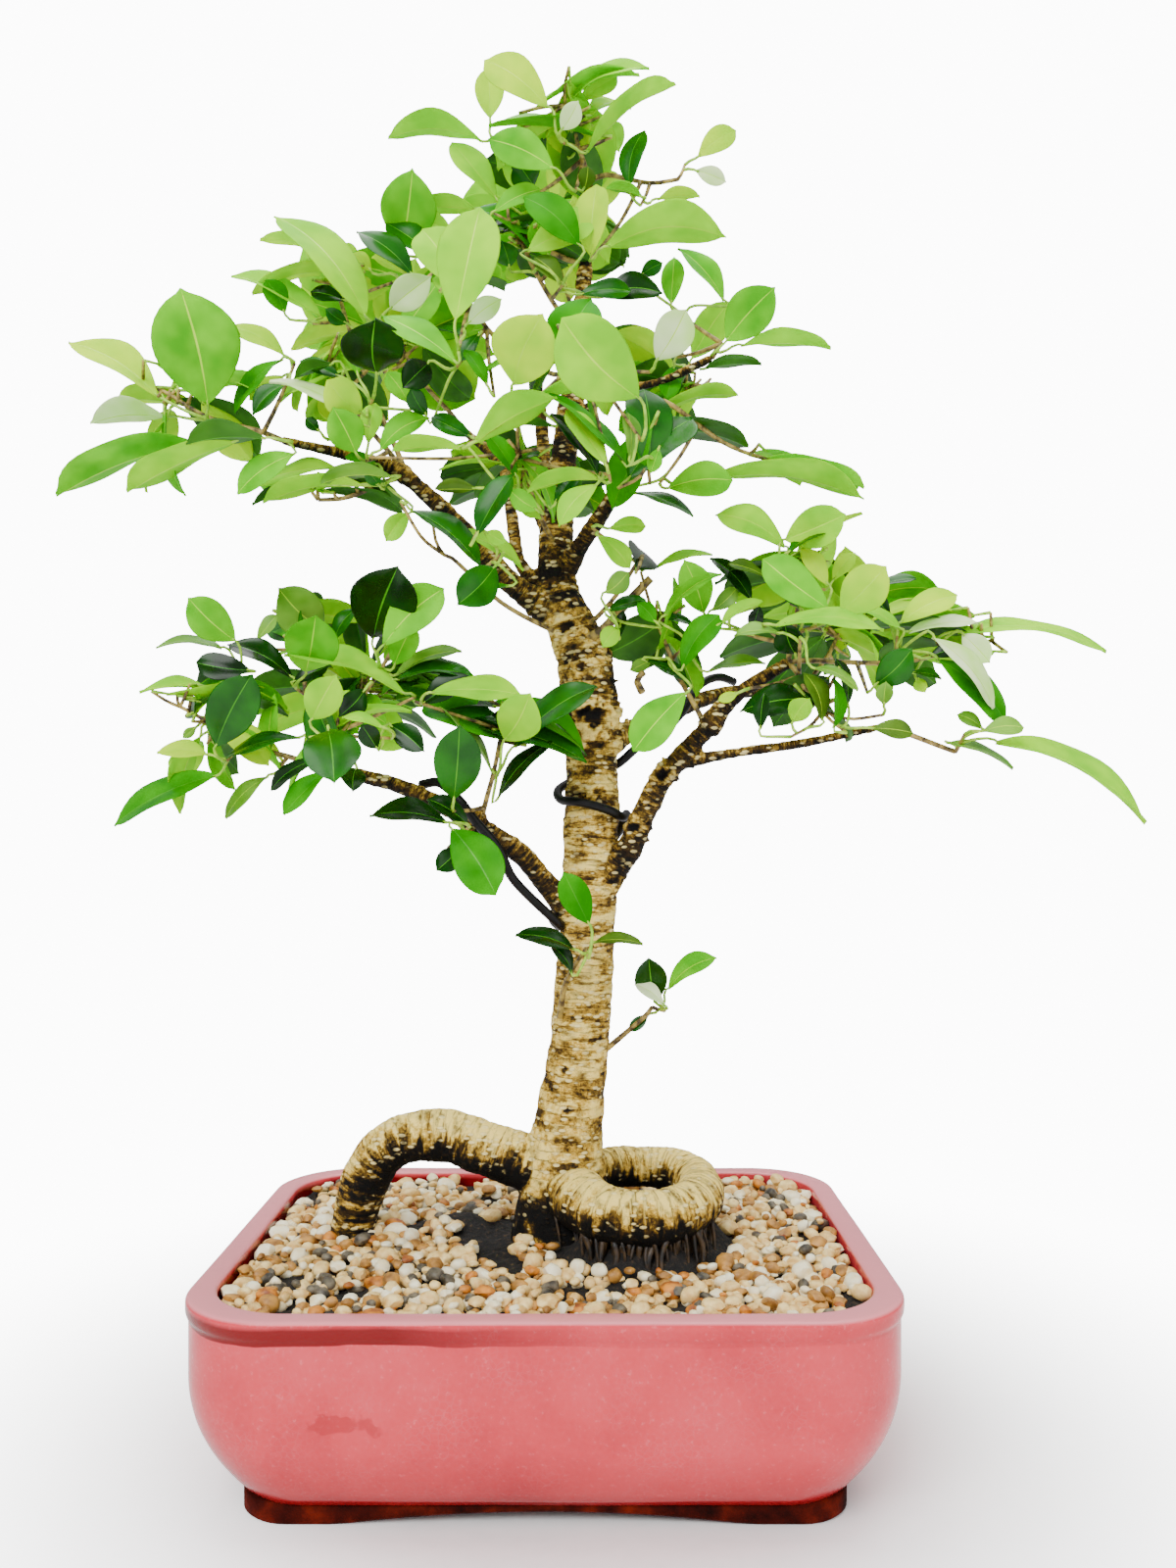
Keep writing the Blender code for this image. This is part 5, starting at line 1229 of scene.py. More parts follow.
def pebble_shape():
    """Points and faces of a unit ball, cut fine enough for a pebble."""
    bm = bmesh.new()
    bmesh.ops.create_icosphere(bm, subdivisions=1, radius=1.0)
    bmesh.ops.subdivide_edges(bm, edges=bm.edges, cuts=1, use_grid_fill=True)
    points = np.array([v.co.normalized() for v in bm.verts])
    faces = [tuple(v.index for v in face.verts) for face in bm.faces]
    bm.free()
    return points, faces


# Stones in the gravel: name, darker and lighter sRGB value, share
STONES = [
    ("cream river pebble", "#D2A456", "#FFE29A", 0.42), ("white quartz pebble", "#F0DCA8", "#FFFADC", 0.24),
    ("tan sandstone pebble", "#84581E", "#C89040", 0.19), ("rusty jasper pebble", "#86420F", "#DE8C24", 0.06),
    ("grey slate pebble", "#2A261E", "#766C58", 0.09),
]
PEBBLES_A_PIECE = 1200
PEBBLE_FLATS = 7                # worn flats on a pebble
FLAT_DEPTH = (0.62, 0.9)        # distance of a flat from the middle, as a share of the pebble
FLAT_GROWTH = 1.16              # makes up for what the flats take off
EDGE_ANGLE = 40.0               # degrees above which a pebble's edge stays crisp
FEEDERS = 150


def bare_soil_and_shade(x, y, half_width, rng):
    """True where the soil shows: on its heaps, round the roots and along parts of the wall, where the dark
    soil is painted shade, and in a few random patches.
    """
    bare = noise.noise(Vector((x, y, 9.0)) / 20.0)
    # painted shade: soil left bare under the rim along the left wall and at the front right corner
    wall = 0.2 if x < -half_width + 7.0 or (x > half_width - 16.0 and y < 0.0) else 0.0
    # painted shade: soil left bare under and round the roots
    root = min(math.dist((x, y), p[:2]) for p in ROOT_LOOP + ROOT_ARCH[:2])
    if root < 17.0 + rng.uniform(-3.0, 3.0):
        return True
    return soil_mound(x, y) > 5.0 + rng.uniform(-1.0, 1.5) or bare + wall > 0.33 + rng.uniform(-0.12, 0.12)


# Layers of gravel: share of the pebbles, height of the layer, how close two of its pebbles may lie
LAYERS = [(0.3, -2.2, 0.8), (0.45, -0.6, 0.86), (0.25, 1.0, 0.95)]


def pebble_spots(count, typical, rng):
    """Places, heights and half lengths of pebbles that lie side by side in layers."""
    half_width = POT_HALF_WIDTH - LIP_WIDTH - 3.4
    half_depth = POT_HALF_DEPTH - LIP_WIDTH - 3.4
    corner = POT_CORNER - LIP_WIDTH
    cell = typical * 1.5
    for share, rise, closeness in LAYERS:
        grid = {}
        for _ in range(round(count * share * 2.2)):
            x = rng.uniform(-half_width, half_width)
            y = rng.uniform(-half_depth, half_depth)
            half = typical / 2.0 * min(1.6, max(0.45, rng.lognormvariate(0.0, 0.32)))
            dx, dy = abs(x) - (half_width - corner), abs(y) - (half_depth - corner)
            if (dx > 0 and dy > 0 and math.hypot(dx, dy) > corner) or bare_soil_and_shade(x, y, half_width, rng):
                continue
            col, row = int(x // cell), int(y // cell)
            near = [p for i in (-1, 0, 1) for j in (-1, 0, 1) for p in grid.get((col + i, row + j), [])]
            if any(math.dist((x, y), p[:2]) < (half + p[2]) * closeness for p in near):
                continue
            grid.setdefault((col, row), []).append((x, y, half))
            yield x, y, rise, half


def make_pebbles(settings, materials):
    """Pebbles with worn flats that lie on the soil, joined in a few pieces."""
    rng = random.Random(f"{SEED}-pebbles")
    ball, faces = pebble_shape()
    shares = [stone[3] for stone in STONES]
    typical = settings.pebble / MM
    skins = [Skin()]
    for n, (x, y, rise, length) in enumerate(pebble_spots(settings.count, typical, rng)):
        if n and n % PEBBLES_A_PIECE == 0:
            skins.append(Skin())
        sizes = np.array([length, length * rng.uniform(0.68, 0.95), length * rng.uniform(0.5, 0.8)])
        facings = [Vector((rng.gauss(0, 1), rng.gauss(0, 1), rng.gauss(0, 1))).normalized()
                   for _ in range(PEBBLE_FLATS)]
        flats = [np.minimum(1.0, rng.uniform(*FLAT_DEPTH) / np.maximum(ball @ np.array(facing), 0.1))
                 for facing in facings]
        shape = ball * sizes * np.minimum.reduce(flats)[:, None] * FLAT_GROWTH
        turn = Matrix.Rotation(rng.uniform(0, math.tau), 3, "Z") @ Matrix.Rotation(rng.gauss(0, 0.3), 3, "X")
        spun = shape @ np.array(turn).T
        lift = ground_height(x, y) + soil_mound(x, y) * 0.7 + rise + rng.uniform(-0.7, 0.7)
        kind = rng.choices(range(len(STONES)), shares)[0]
        skins[-1].add([Vector(p) for p in spun + (x, y, lift)], faces, kind)
    pieces = [skin.build(f"pebbles_{k + 1}", materials) for k, skin in enumerate(skins)]
    for piece in pieces:
        piece.data.set_sharp_from_angle(angle=math.radians(EDGE_ANGLE))
    return pieces


def make_feeders(limbs, mat):
    """Thin roots packed side by side that hang from the loop's underside into the gravel; near black, they
    fill the space under the loop with painted shade.
    """
    rng = random.Random(f"{SEED}-feeders")
    skin = Skin()
    loop = limbs.roots["loop"]
    for _ in range(FEEDERS):
        x, y, z, radius = loop[int(rng.uniform(0.0, 0.72) * (len(loop) - 1))]
        turn = rng.uniform(math.radians(190.0), math.radians(350.0))
        reach = radius * rng.uniform(0.25, 0.8)
        start = Vector((x + reach * math.cos(turn), y + reach * math.sin(turn),
                        z - math.sqrt(radius * radius - reach * reach) * 0.85))
        end = Vector((start.x + rng.uniform(-3, 3), start.y + rng.uniform(-4, 1), GRAVEL_LEVEL - 3.0))
        middle = start.lerp(end, 0.5) + Vector((rng.uniform(-1.5, 1.5), rng.uniform(-1.5, 1.0), 0.0))
        thick = rng.uniform(0.5, 1.7)
        skin.tube(tapered([start, middle, end], thick, thick * 0.6, 2.5), 6)
    return skin.build("feeder_roots", [mat])


class BONSAI_OT_gravel(bpy.types.Operator):
    """Fill the pot with soil and strew it with river pebbles"""
    bl_idname = "bonsai.make_gravel"
    bl_label = "Soil and gravel"

    def execute(self, context):
        settings = context.scene.bonsai_gravel
        settle(make_soil_mesh(potting_soil(settings)), "potting_soil", "soil")
        stones = [river_pebble(*stone[:3]) for stone in STONES]
        for k, piece in enumerate(make_pebbles(settings, stones)):
            settle(piece, "river_gravel", *(["gravel_dressing"] if k == 0 else []))
        # near-black bark: painted shade under the loop
        dark_root = young_bark("feeder root in painted shade", "#070402", "#3C2A12")
        settle(make_feeders(Limbs(LIMB_STEP), dark_root), "ficus_bark")
        return {"FINISHED"}


# ---------------------------------------------------------------- foliage

def cell_planes(name):
    """Planes half-way, by size, between this mass and each other one: (normal, reach from centre)."""
    centre, sizes = Vector(MASSES[name][2]), MASSES[name][3]
    planes = []
    for other, (_, _, spot, other_sizes, _) in MASSES.items():
        if other == name:
            continue
        between = Vector(spot) - centre
        normal = between.normalized()
        own = math.sqrt(sum((s * n) ** 2 for s, n in zip(sizes, normal)))
        theirs = math.sqrt(sum((s * n) ** 2 for s, n in zip(other_sizes, normal)))
        planes.append((normal, between.length * own / (own + theirs) - SPACE_MARGIN))
    return planes


class Space:
    """The room that one mass of foliage keeps to, and the limbs that it stays clear of."""

    def __init__(self, name, obstacles):
        self.centre = Vector(MASSES[name][2])
        self.sizes = Vector(MASSES[name][3])
        self.planes = cell_planes(name)
        reach = max(self.sizes) + 12.0
        self.obstacles = []
        for path in obstacles:
            near = [k for k, p in enumerate(path) if (Vector(p[:3]) - self.centre).length < reach]
            if near:
                self.obstacles.append(path[max(near[0] - 1, 0):near[-1] + 2])

    def holds(self, p, slack=1.0):
        offset = p - self.centre
        inside = sum((o / s) ** 2 for o, s in zip(offset, self.sizes)) <= slack
        return inside and all(offset.dot(normal) <= reach for normal, reach in self.planes)

    def edge(self, direction):
        """The furthest point of the room from its centre in a direction."""
        share = 1.0
        offset = Vector(d * s for d, s in zip(direction, self.sizes))
        for normal, reach in self.planes:
            along = offset.dot(normal)
            if along * share > reach:
                share = reach / along
        return self.centre + offset * share * 0.99

    def free(self, p, clearance=LIMB_CLEARANCE):
        return all(clear_of(path, p, clearance) for path in self.obstacles)


def leaf_frame(direction, roll, faces=UP):
    """Axes of a leaf: along the blade, across it, and out of its upper face."""
    along = direction.normalized()
    across = faces.cross(along)
    if across.length < 0.05:
        across = Vector((1.0, 0.0, 0.0)).cross(along)
    across = Matrix.Rotation(roll, 3, along) @ across.normalized()
    return along, across, along.cross(across)


def light_side(spot):
    """The way that a leaf's upper face turns: up, and out from the middle of the crown."""
    outward = Vector((spot.x - CROWN_AXIS[0], spot.y - CROWN_AXIS[1], 0.0))
    return (outward.normalized() * 1.1 + UP).normalized()


def stem_way(name, limbs):
    """Where a mass's stem leaves its bough or the trunk, and the way it sets off."""
    carrier, height, spot, _, _ = MASSES[name]
    path = limbs.paths[carrier]
    row = path[-1] if height is None else radius_at_height(path, height)
    point = Vector(row[:3])
    along = tangent_at(path, len(path) - 1) if height is None else UP
    way = (Vector(spot) - point).normalized()
    ahead = way.dot(along)
    if height is not None or ahead < 0.15:
        side = (way - along * ahead).normalized()
        way = (side + along * (0.0 if height is not None else 0.15)).normalized()
    return point, way


def stem_path(name, start, way):
    """The stem leaves its carrier squarely and bends through the middle of its mass."""
    centre, sizes = Vector(MASSES[name][2]), Vector(MASSES[name][3])
    distance = (centre - start).length
    lead = start + way * min(9.0, distance * 0.25)
    onward = (centre - lead).normalized()
    end = centre + Vector(o * s * 0.2 for o, s in zip(onward, sizes))
    middle = lead.lerp(centre, 0.55) + Vector((0.0, 0.0, -0.06 * distance))
    path = smooth_path([start, lead, middle, centre, end], 4.0)
    return [(*p, STEM_RADIUS + (SHOOT_RADIUS - STEM_RADIUS) * i / (len(path) - 1))
            for i, p in enumerate(path)]


# Stems of the sprigs on the trunk: (u, v) places in the front view, and their depths
SPRIG_STEMS = {
    "front_trunk_sprig": [(571, 1038, -11), (576, 1007, -18), (585, 988, -26), (598, 968, -34)],
    "right_trunk_sprig": [(617, 1072, -4), (642, 1051, -8), (657, 1038, -10), (670, 1022, -12)],
}

# Pruned twigs that end bluntly: (u, v) places in the front view with depths, and their radii
STUBS = [([(584, 654, -4), (612, 645, -11), (640, 615, -15), (664, 590, -17)], 2.3, 1.7),
         ([(640, 615, -15), (652, 606, -19), (655, 594, -22)], 1.2, 0.9),
         ([(655, 706, -10), (650, 694, -14), (657, 686, -16)], 1.6, 1.3)]


SPRIG_RADII = (1.3, 0.8)


def sprig_stem(name):
    """The stem of a sprig, which starts on the trunk's bark."""
    points = [seen(*place_seen) for place_seen in SPRIG_STEMS[name]]
    return tapered(points, *SPRIG_RADII, TWIG_STEP)


class Blade:
    """One leaf: where it is rooted, its tip, its upper side, width, shape and tone."""

    def __init__(self, root, tip, normal, width, tone, rng, bow=None):
        self.root, self.tip, self.width, self.tone = root, tip, width, tone
        self.along = (tip - root).normalized()
        self.length = (tip - root).length
        self.normal = (normal - self.along * normal.dot(self.along)).normalized()
        self.across = self.normal.cross(self.along)
        self.bow = rng.uniform(0.05, 0.13) if bow is None else bow
        self.fold = rng.uniform(0.12, 0.34)
        self.widest = rng.uniform(0.54, 0.64)
        self.wave = rng.uniform(0.0, math.tau)
        self.curl = rng.uniform(-0.12, 0.12)

    def spine(self, t):
        return self.root + self.along * (self.length * t) + self.normal * (
            self.bow * self.length * 4.0 * t * (1.0 - t))

    def probes(self):
        half = self.across * (self.width / 2.0)
        middle = self.spine(0.55)
        return [self.spine(0.25), middle, middle + half * 0.8, middle - half * 0.8, self.spine(0.85)]


BLADE_RATIO = 0.54              # a blade's width as a share of its length
LONGEST_TURNED = 56.0           # the most that a blade turned towards the front is taken to be long
LEAF_ROWS = 16
LEAF_COLUMNS = (-1.0, -0.94, -0.62, -0.3, -0.025, 0.025, 0.3, 0.62, 0.94, 1.0)
DRIP_TIP = 0.025                # share of the blade taken by its narrow drip tip


def blade_points(blade, thickness):
    """Rows of points over the blade's two faces, which share their margin."""
    p, q = 0.92, 0.92 * (1.0 - blade.widest) / blade.widest
    peak = blade.widest ** p * (1.0 - blade.widest) ** q
    upper, lower = [], []
    for i in range(LEAF_ROWS + 1):
        t = 0.5 * i / LEAF_ROWS + 0.25 * (1.0 - math.cos(math.pi * i / LEAF_ROWS))
        body = min(1.0, t / (1.0 - DRIP_TIP))
        half = blade.width / 2.0 * (body ** p * max(0.0, 1.0 - body) ** q) / peak
        half = max(half, 0.5 + 0.25 * (1.0 - t)) if 0 < i < LEAF_ROWS else 0.18
        spine = blade.spine(t)
        sway = blade.across * (blade.curl * blade.length * 0.5 * math.sin(math.pi * t))
        for s in LEAF_COLUMNS:
            side = abs(s)
            lift = half * (blade.fold * side - 0.10 * side ** 3)
            lift += 0.028 * blade.width * math.sin(blade.wave + 9.0 * t + (2.0 if s > 0 else 0.0)) * side
            rib = -0.12 if side < 0.05 else 0.0
            centre = spine + sway + blade.across * (s * half)
            upper.append(centre + blade.normal * (lift + rib))
            share = 1.5 if side < 0.05 else 0.62 if side < 0.5 else 0.5
            body_thick = 0.0 if side == 1.0 else thickness * share
            lower.append(centre + blade.normal * (lift + rib - body_thick))
    return upper, lower


def blade_faces():
    """Faces over the points of blade_points: upper, lower and ribs, as (face, part)."""
    columns = len(LEAF_COLUMNS)
    total = columns * (LEAF_ROWS + 1)
    middle = (columns - 2) // 2

    def under(i, c):
        return i * columns + c if c in (0, columns - 1) else total + i * columns + c

    faces = []
    for i in range(LEAF_ROWS):
        for c in range(columns - 1):
            part = "rib" if c == middle else "blade"
            faces.append(((i * columns + c, i * columns + c + 1, (i + 1) * columns + c + 1,
                           (i + 1) * columns + c), part))
            faces.append(((under(i, c), under(i + 1, c), under(i + 1, c + 1), under(i, c + 1)),
                          "rib" if c == middle else "back"))
    for row, flip in ((0, False), (LEAF_ROWS, True)):
        ring = [row * columns + c for c in range(columns)]
        ring += [under(row, c) for c in range(columns - 2, 0, -1)]
        faces.append((tuple(ring if flip else reversed(ring)), "blade"))
    return faces


BLADE_FACES = blade_faces()


def leaf_slots():
    """Places of the leaf materials in a joined piece: each tone's blade, then ribs and underside."""
    order = list(LEAF_TONES)
    names = [f"{tone}-blade" for tone in order] + ["light-rib", "dark-rib", "dark-back"]
    return {name: k for k, name in enumerate(names)}


SLOTS = leaf_slots()
DARK_TONES = ("D", "K", "G")


def add_blade(skin, blade, thickness):
    upper, lower = blade_points(blade, thickness)
    dark = blade.tone in DARK_TONES
    face_slot = {
        "blade": SLOTS[f"{blade.tone}-blade"],
        "rib": SLOTS["dark-rib" if dark else "light-rib"],
        "back": SLOTS["dark-back" if dark else f"{blade.tone}-blade"],
    }
    skin.add(upper + lower, [face for face, _ in BLADE_FACES], [face_slot[part] for _, part in BLADE_FACES])


def leading_blade(row, mass, rng):
    """A listed blade, placed from where the front view shows its root, tip and width."""
    u0, v0, u1, v1, width, tone, offset = row
    depth = MASSES[mass][2][1] + offset
    root = seen(u0, v0, depth)
    tip = seen(u1, v1, depth)
    shown, length = width * (depth - EYE[1]) / FOCAL_PIXELS, (tip - root).length
    if shown > BLADE_RATIO * length:
        true_length = min(shown / BLADE_RATIO, LONGEST_TURNED)
        reach = math.sqrt(max(0.0, true_length ** 2 - length ** 2))
        tip = seen(u1, v1, depth - reach * 0.8)
        broad = shown
        roll = 0.0
    else:
        broad = BLADE_RATIO * length
        roll = math.acos(max(0.12, shown / broad))
    view = (Vector(EYE) - root.lerp(tip, 0.5)).normalized()
    along = (tip - root).normalized()
    facing = (view - along * view.dot(along)).normalized()
    side = along.cross(facing)
    options = [(facing * math.cos(a) + side * math.sin(a)) * sign
               for a in (roll, -roll) for sign in (1.0, -1.0)]
    favour = UP + facing * (1.2 if roll < 0.8 else 0.25)
    normal = max(options, key=lambda n: n.dot(favour))
    return Blade(root, tip, normal, broad, tone, rng, bow=rng.uniform(0.06, 0.12) if roll > 0.4 else 0.05)


def side_blades(start, end, lengths, rng):
    """Places for blades in turn round a shoot, each with its root, way and length."""
    onward = (end - start).normalized()
    _, across, normal = leaf_frame(onward, 0.0)
    first = rng.uniform(0.0, math.tau)
    for k in range(SIDE_BLADES):
        spot = start.lerp(end, max(0.2, 1.0 - 0.24 * (k + 1)))
        swing = first + k * 2.4
        side = across * math.cos(swing) + normal * math.sin(swing)
        way = (onward * 0.6 + side + Vector((0.0, 0.0, rng.uniform(-0.15, 0.25)))).normalized()
        yield spot, spot + way * rng.uniform(5.0, 8.0), way, rng.uniform(*lengths) * 0.95


# From which share of the crown's reach and height a blade takes each tone; below all, the oldest. The tones
# follow age and also paint light: lighter high and far out, darker low, deep inside and at the back as
# painted shade.
TONE_STEPS = (("Y", 0.72), ("L", 0.5), ("F", 0.38), ("G", 0.28), ("D", 0.14))


def tone_for(spot, rng):
    """Young leaves stand high and far out, old ones low and deep inside; the same order paints light on the
    outer leaves and shade on the inner, lower and back ones.
    """
    out = math.hypot(spot.x - CROWN_AXIS[0], spot.y - CROWN_AXIS[1]) / CROWN_REACH
    high = (spot.z - CROWN_FOOT) / CROWN_HEIGHT
    # painted shade: leaves towards the back are made older and darker
    shaded = 0.1 if spot.y > 15.0 else 0.0
    # painted light and shade with age: high, outer leaves lighter, low and inner ones darker
    age_and_light = 0.5 * high + 0.55 * out - shaded + rng.uniform(-0.28, 0.28)
    for tone, least in TONE_STEPS:
        if age_and_light > least:
            return tone
    return "K"


def aims(name, rng, count):
    """Directions from the middle of a mass: outward first, then evenly all round, few from below."""
    centre = Vector(MASSES[name][2])
    outward = Vector((centre.x - CROWN_AXIS[0], centre.y, 0.0))
    outward = outward.normalized() if outward.length > 20.0 else UP
    for lift in (-0.25, 0.55):
        yield (outward + Vector((0.0, 0.0, lift))).normalized()
    turn = rng.uniform(0.0, math.tau)
    for i in range(count * 6):
        height = 1.0 - 1.75 * ((i * 0.618034 + 0.31) % 1.0)
        ring = math.sqrt(max(0.0, 1.0 - height * height))
        angle = turn + i * GOLDEN_ANGLE
        yield Vector((ring * math.cos(angle), ring * math.sin(angle), height))


SIDE_BLADES = 3                 # blades tried along a shoot, besides the one at its end
FILL_BEHIND = 1.45              # leaves grown by the rule for each one of the solid, where some are placed
FILL_BARE = 2.0                 # and where none is
BLADE_SPACING = 4.2             # nearest that a grown blade comes to another
NEIGHBOURHOOD = 45.0            # blades further off than this aren't compared
SPRAY_REACH = 24.0              # placed blades rooted this near to each other share a twig
BLADES_A_PIECE = 300


class Crown:
    """All the foliage: stems, shoots and petioles, and the blades that they carry."""

    def __init__(self, limbs, settings):
        self.limbs = limbs
        self.lengths = (settings.shortest / MM, settings.longest / MM)
        self.share = settings.share
        self.twigs, self.shoots, self.blades = [], [], []
        self.obstacles = list(limbs.paths.values())
        self.stems = {}
        for name in MASSES:
            sprig = name in SPRIG_STEMS
            self.stems[name] = sprig_stem(name) if sprig else stem_path(name, *stem_way(name, limbs))
        self.reached = {name: 2 for name in MASSES}

    def crowded(self, blade):
        """True when a blade would stand too close to one that is there already."""
        probes = blade.probes()
        for other in self.blades:
            if (other.spine(0.5) - probes[1]).length < NEIGHBOURHOOD:
                for q in other.probes():
                    if any((p - q).length < BLADE_SPACING for p in probes):
                        return True
        return False

    def petiole(self, start, blade, lead):
        """A petiole bows out of its twig and runs straight into the blade."""
        reach = (blade.root - start).length
        lead = (lead * 0.5 + (blade.root - start).normalized()).normalized()
        points = [start, start + lead * reach * 0.35, blade.root - blade.along * min(3.0, reach * 0.2),
                  blade.root + blade.along * 1.5]
        self.shoots.append(tapered(points, PETIOLE_RADIUS * 1.15, PETIOLE_RADIUS * 0.8, 2.5))

    def twig_to(self, name, target):
        """A twig from the nearest part of the mass's stem to the target; returns its path."""
        stem = self.stems[name]
        k = min(range(2, len(stem)), key=lambda i: (Vector(stem[i][:3]) - target).length + 0.25 * i)
        self.reached[name] = max(self.reached[name], k)
        start, along = Vector(stem[k][:3]), tangent_at(stem, k)
        reach = (target - start).length
        onward = (target - start).normalized()
        turn = along * 0.6 * max(0.0, along.dot(onward))
        bend = start + (turn + onward).normalized() * reach * 0.45
        bend.z -= 0.04 * reach
        path = tapered([start, bend, target], min(stem[k][3], TWIG_RADIUS), SHOOT_RADIUS * 0.8, TWIG_STEP)
        self.twigs.append(path)
        return path

    def lead(self, name, rng):
        """Listed blades, gathered into sprays that share a twig."""
        sprays = []
        for row in LEADING_LEAVES.get(name, []):
            blade = leading_blade(row, name, rng)
            for spray in sprays:
                if (spray[0].root - blade.root).length < SPRAY_REACH:
                    spray.append(blade)
                    break
            else:
                sprays.append([blade])
        for spray in sprays:
            middle = sum((blade.root for blade in spray), Vector()) / len(spray)
            back = sum((blade.along for blade in spray), Vector())
            back = back.normalized() if back.length > 0.1 else Vector((0.0, -1.0, 0.0))
            path = self.twig_to(name, middle - back * 5.0)
            for k, blade in enumerate(spray):
                row = path[max(1, len(path) - 1 - k)]
                self.petiole(Vector(row[:3]), blade, tangent_at(path, len(path) - 1))
                self.blades.append(blade)

    def fill(self, name, rng):
        """Shoots and blades that grow by the rule: each shoot aims at a point on the room's edge."""
        placed = bool(LEADING_LEAVES.get(name))
        wanted = round(MASSES[name][4] * self.share * (FILL_BEHIND if placed else FILL_BARE))
        if name in FRONT_ONLY:
            return
        space = Space(name, self.obstacles)
        centre, sizes = Vector(MASSES[name][2]), MASSES[name][3]
        grown = 0
        for aim in aims(name, rng, wanted):
            if grown >= wanted:
                break
            edge = space.edge(aim)
            if placed and edge.y < centre.y - 0.15 * sizes[1]:
                continue
            length = rng.uniform(*self.lengths)
            droop = Vector((0.0, 0.0, rng.uniform(-0.35, 0.15)))
            direction = ((edge - centre).normalized() + droop).normalized()
            end = edge - direction * (length + 6.0)
            if (end - centre).dot(direction) < -20.0 or not space.free(edge - direction * length * 0.5, 2.0):
                continue
            tone = tone_for(edge, rng)
            blades = []
            normal = leaf_frame(direction, rng.uniform(-0.5, 0.5), light_side(edge))[2]
            blades.append((end, Blade(end + direction * 6.0, edge, normal, length * rng.uniform(0.5, 0.6),
                                      tone, rng)))
            start = centre.lerp(end, 0.3)
            for spot, root, way, size in side_blades(start, end, self.lengths, rng):
                tip = root + way * size
                if space.holds(tip, 1.15) and space.free(tip) and space.free(root.lerp(tip, 0.5), 2.0):
                    if not (placed and tip.y < centre.y - 0.3 * sizes[1]):
                        normal = leaf_frame(way, rng.uniform(-0.5, 0.5), light_side(tip))[2]
                        side_tone = tone if rng.random() < 0.6 else tone_for(tip, rng)
                        blades.append((spot, Blade(root, tip, normal, size * rng.uniform(0.48, 0.6),
                                                   side_tone, rng)))
            kept = [(spot, blade) for spot, blade in blades
                    if not self.crowded(blade)
                    and not any(in_the_open(p) for p in [*blade.probes(), blade.tip])]
            if not kept:
                continue
            path = self.twig_to(name, end)
            for spot, blade in kept:
                near = min(path[len(path) // 3:], key=lambda row: (Vector(row[:3]) - spot).length)
                self.petiole(Vector(near[:3]), blade, direction)
                self.blades.append(blade)
                grown += 1

    def grow(self):
        for name in MASSES:
            self.lead(name, random.Random(f"{SEED}-lead-{name}"))
        for name in MASSES:
            self.fill(name, random.Random(f"{SEED}-{name}"))


def make_leaves(crown, thickness):
    """Blades joined in pieces, each a few hundred leaves."""
    materials = [living_leaf(*LEAF_TONES[tone]) for tone in LEAF_TONES]
    materials.append(living_leaf(RIB_LIGHT, "#A8E010", "#C8F03A", 0.4, 0.0))
    materials.append(living_leaf(RIB_DARK, "#2E8406", "#56A816", 0.4, 0.0))
    materials.append(living_leaf("mature leaf underside", "#1E5208", "#3A7614", 0.5, 0.0))
    skins = [Skin()]
    for n, blade in enumerate(crown.blades):
        if n and n % BLADES_A_PIECE == 0:
            skins.append(Skin())
        add_blade(skins[-1], blade, thickness)
    return [skin.build(f"leaves_{k + 1}", materials) for k, skin in enumerate(skins)]


def make_twigs(crown):
    """Stems and woody twigs in one piece, green shoots and petioles in another."""
    woody = Skin()
    for name, stem in crown.stems.items():
        woody.tube(stem[:crown.reached[name] + 1], STEM_SIDES)
    for twig in crown.twigs:
        woody.tube(twig, TWIG_SIDES)
    for points, base, tip in STUBS:
        woody.tube(tapered([seen(*point) for point in points], base, tip, TWIG_STEP), STEM_SIDES)
    green = Skin()
    for shoot in crown.shoots:
        green.tube(shoot, SHOOT_SIDES)
    return (woody.build("twigs", [young_bark("twig bark", "#3E2E0C", "#B49A4A")]),
            green.build("petioles", [young_bark("green petiole", "#7CB414", "#B4DC38")]))


class BONSAI_OT_foliage(bpy.types.Operator):
    """Grow twigs and leaves on from the limbs"""
    bl_idname = "bonsai.make_foliage"
    bl_label = "Twigs and leaves"

    def execute(self, context):
        settings = context.scene.bonsai_foliage
        crown = Crown(Limbs(CROWN_STEP), settings)
        crown.grow()
        masses = list(MASSES)
        for k, piece in enumerate(make_leaves(crown, settings.thickness / MM)):
            settle(piece, "ficus_leaf", *(masses if k == 0 else []))
        twigs, petioles = make_twigs(crown)
        settle(twigs, "ficus_bark")
        settle(petioles, "ficus_leaf")
        return {"FINISHED"}


# ---------------------------------------------------------------- stage

FLOOR_SIZE = 8.0
DOME_LIGHT = 0.62
LIGHT_AIM = (0.0, 0.0, 0.3)

# Studio lights: name, place and size in metres, watts
LIGHTS = [("key", (-0.7, -1.4, 1.5), 1.2, 44.0), ("fill", (1.4, -1.2, 0.7), 1.4, 12.0),
          ("top", (0.1, 0.3, 1.9), 1.4, 34.0)]


def area_light(name, spot, aim, size, watts):
    """A square soft light at one place, turned to another, in metres."""
    data = bpy.data.lights.new(name, "AREA")
    data.size = size
    data.energy = watts
    lamp = bpy.data.objects.new(name, data)
    lamp.location = spot
    lamp.rotation_euler = (Vector(aim) - Vector(spot)).to_track_quat("-Z", "Y").to_euler()
    bpy.context.scene.collection.objects.link(lamp)


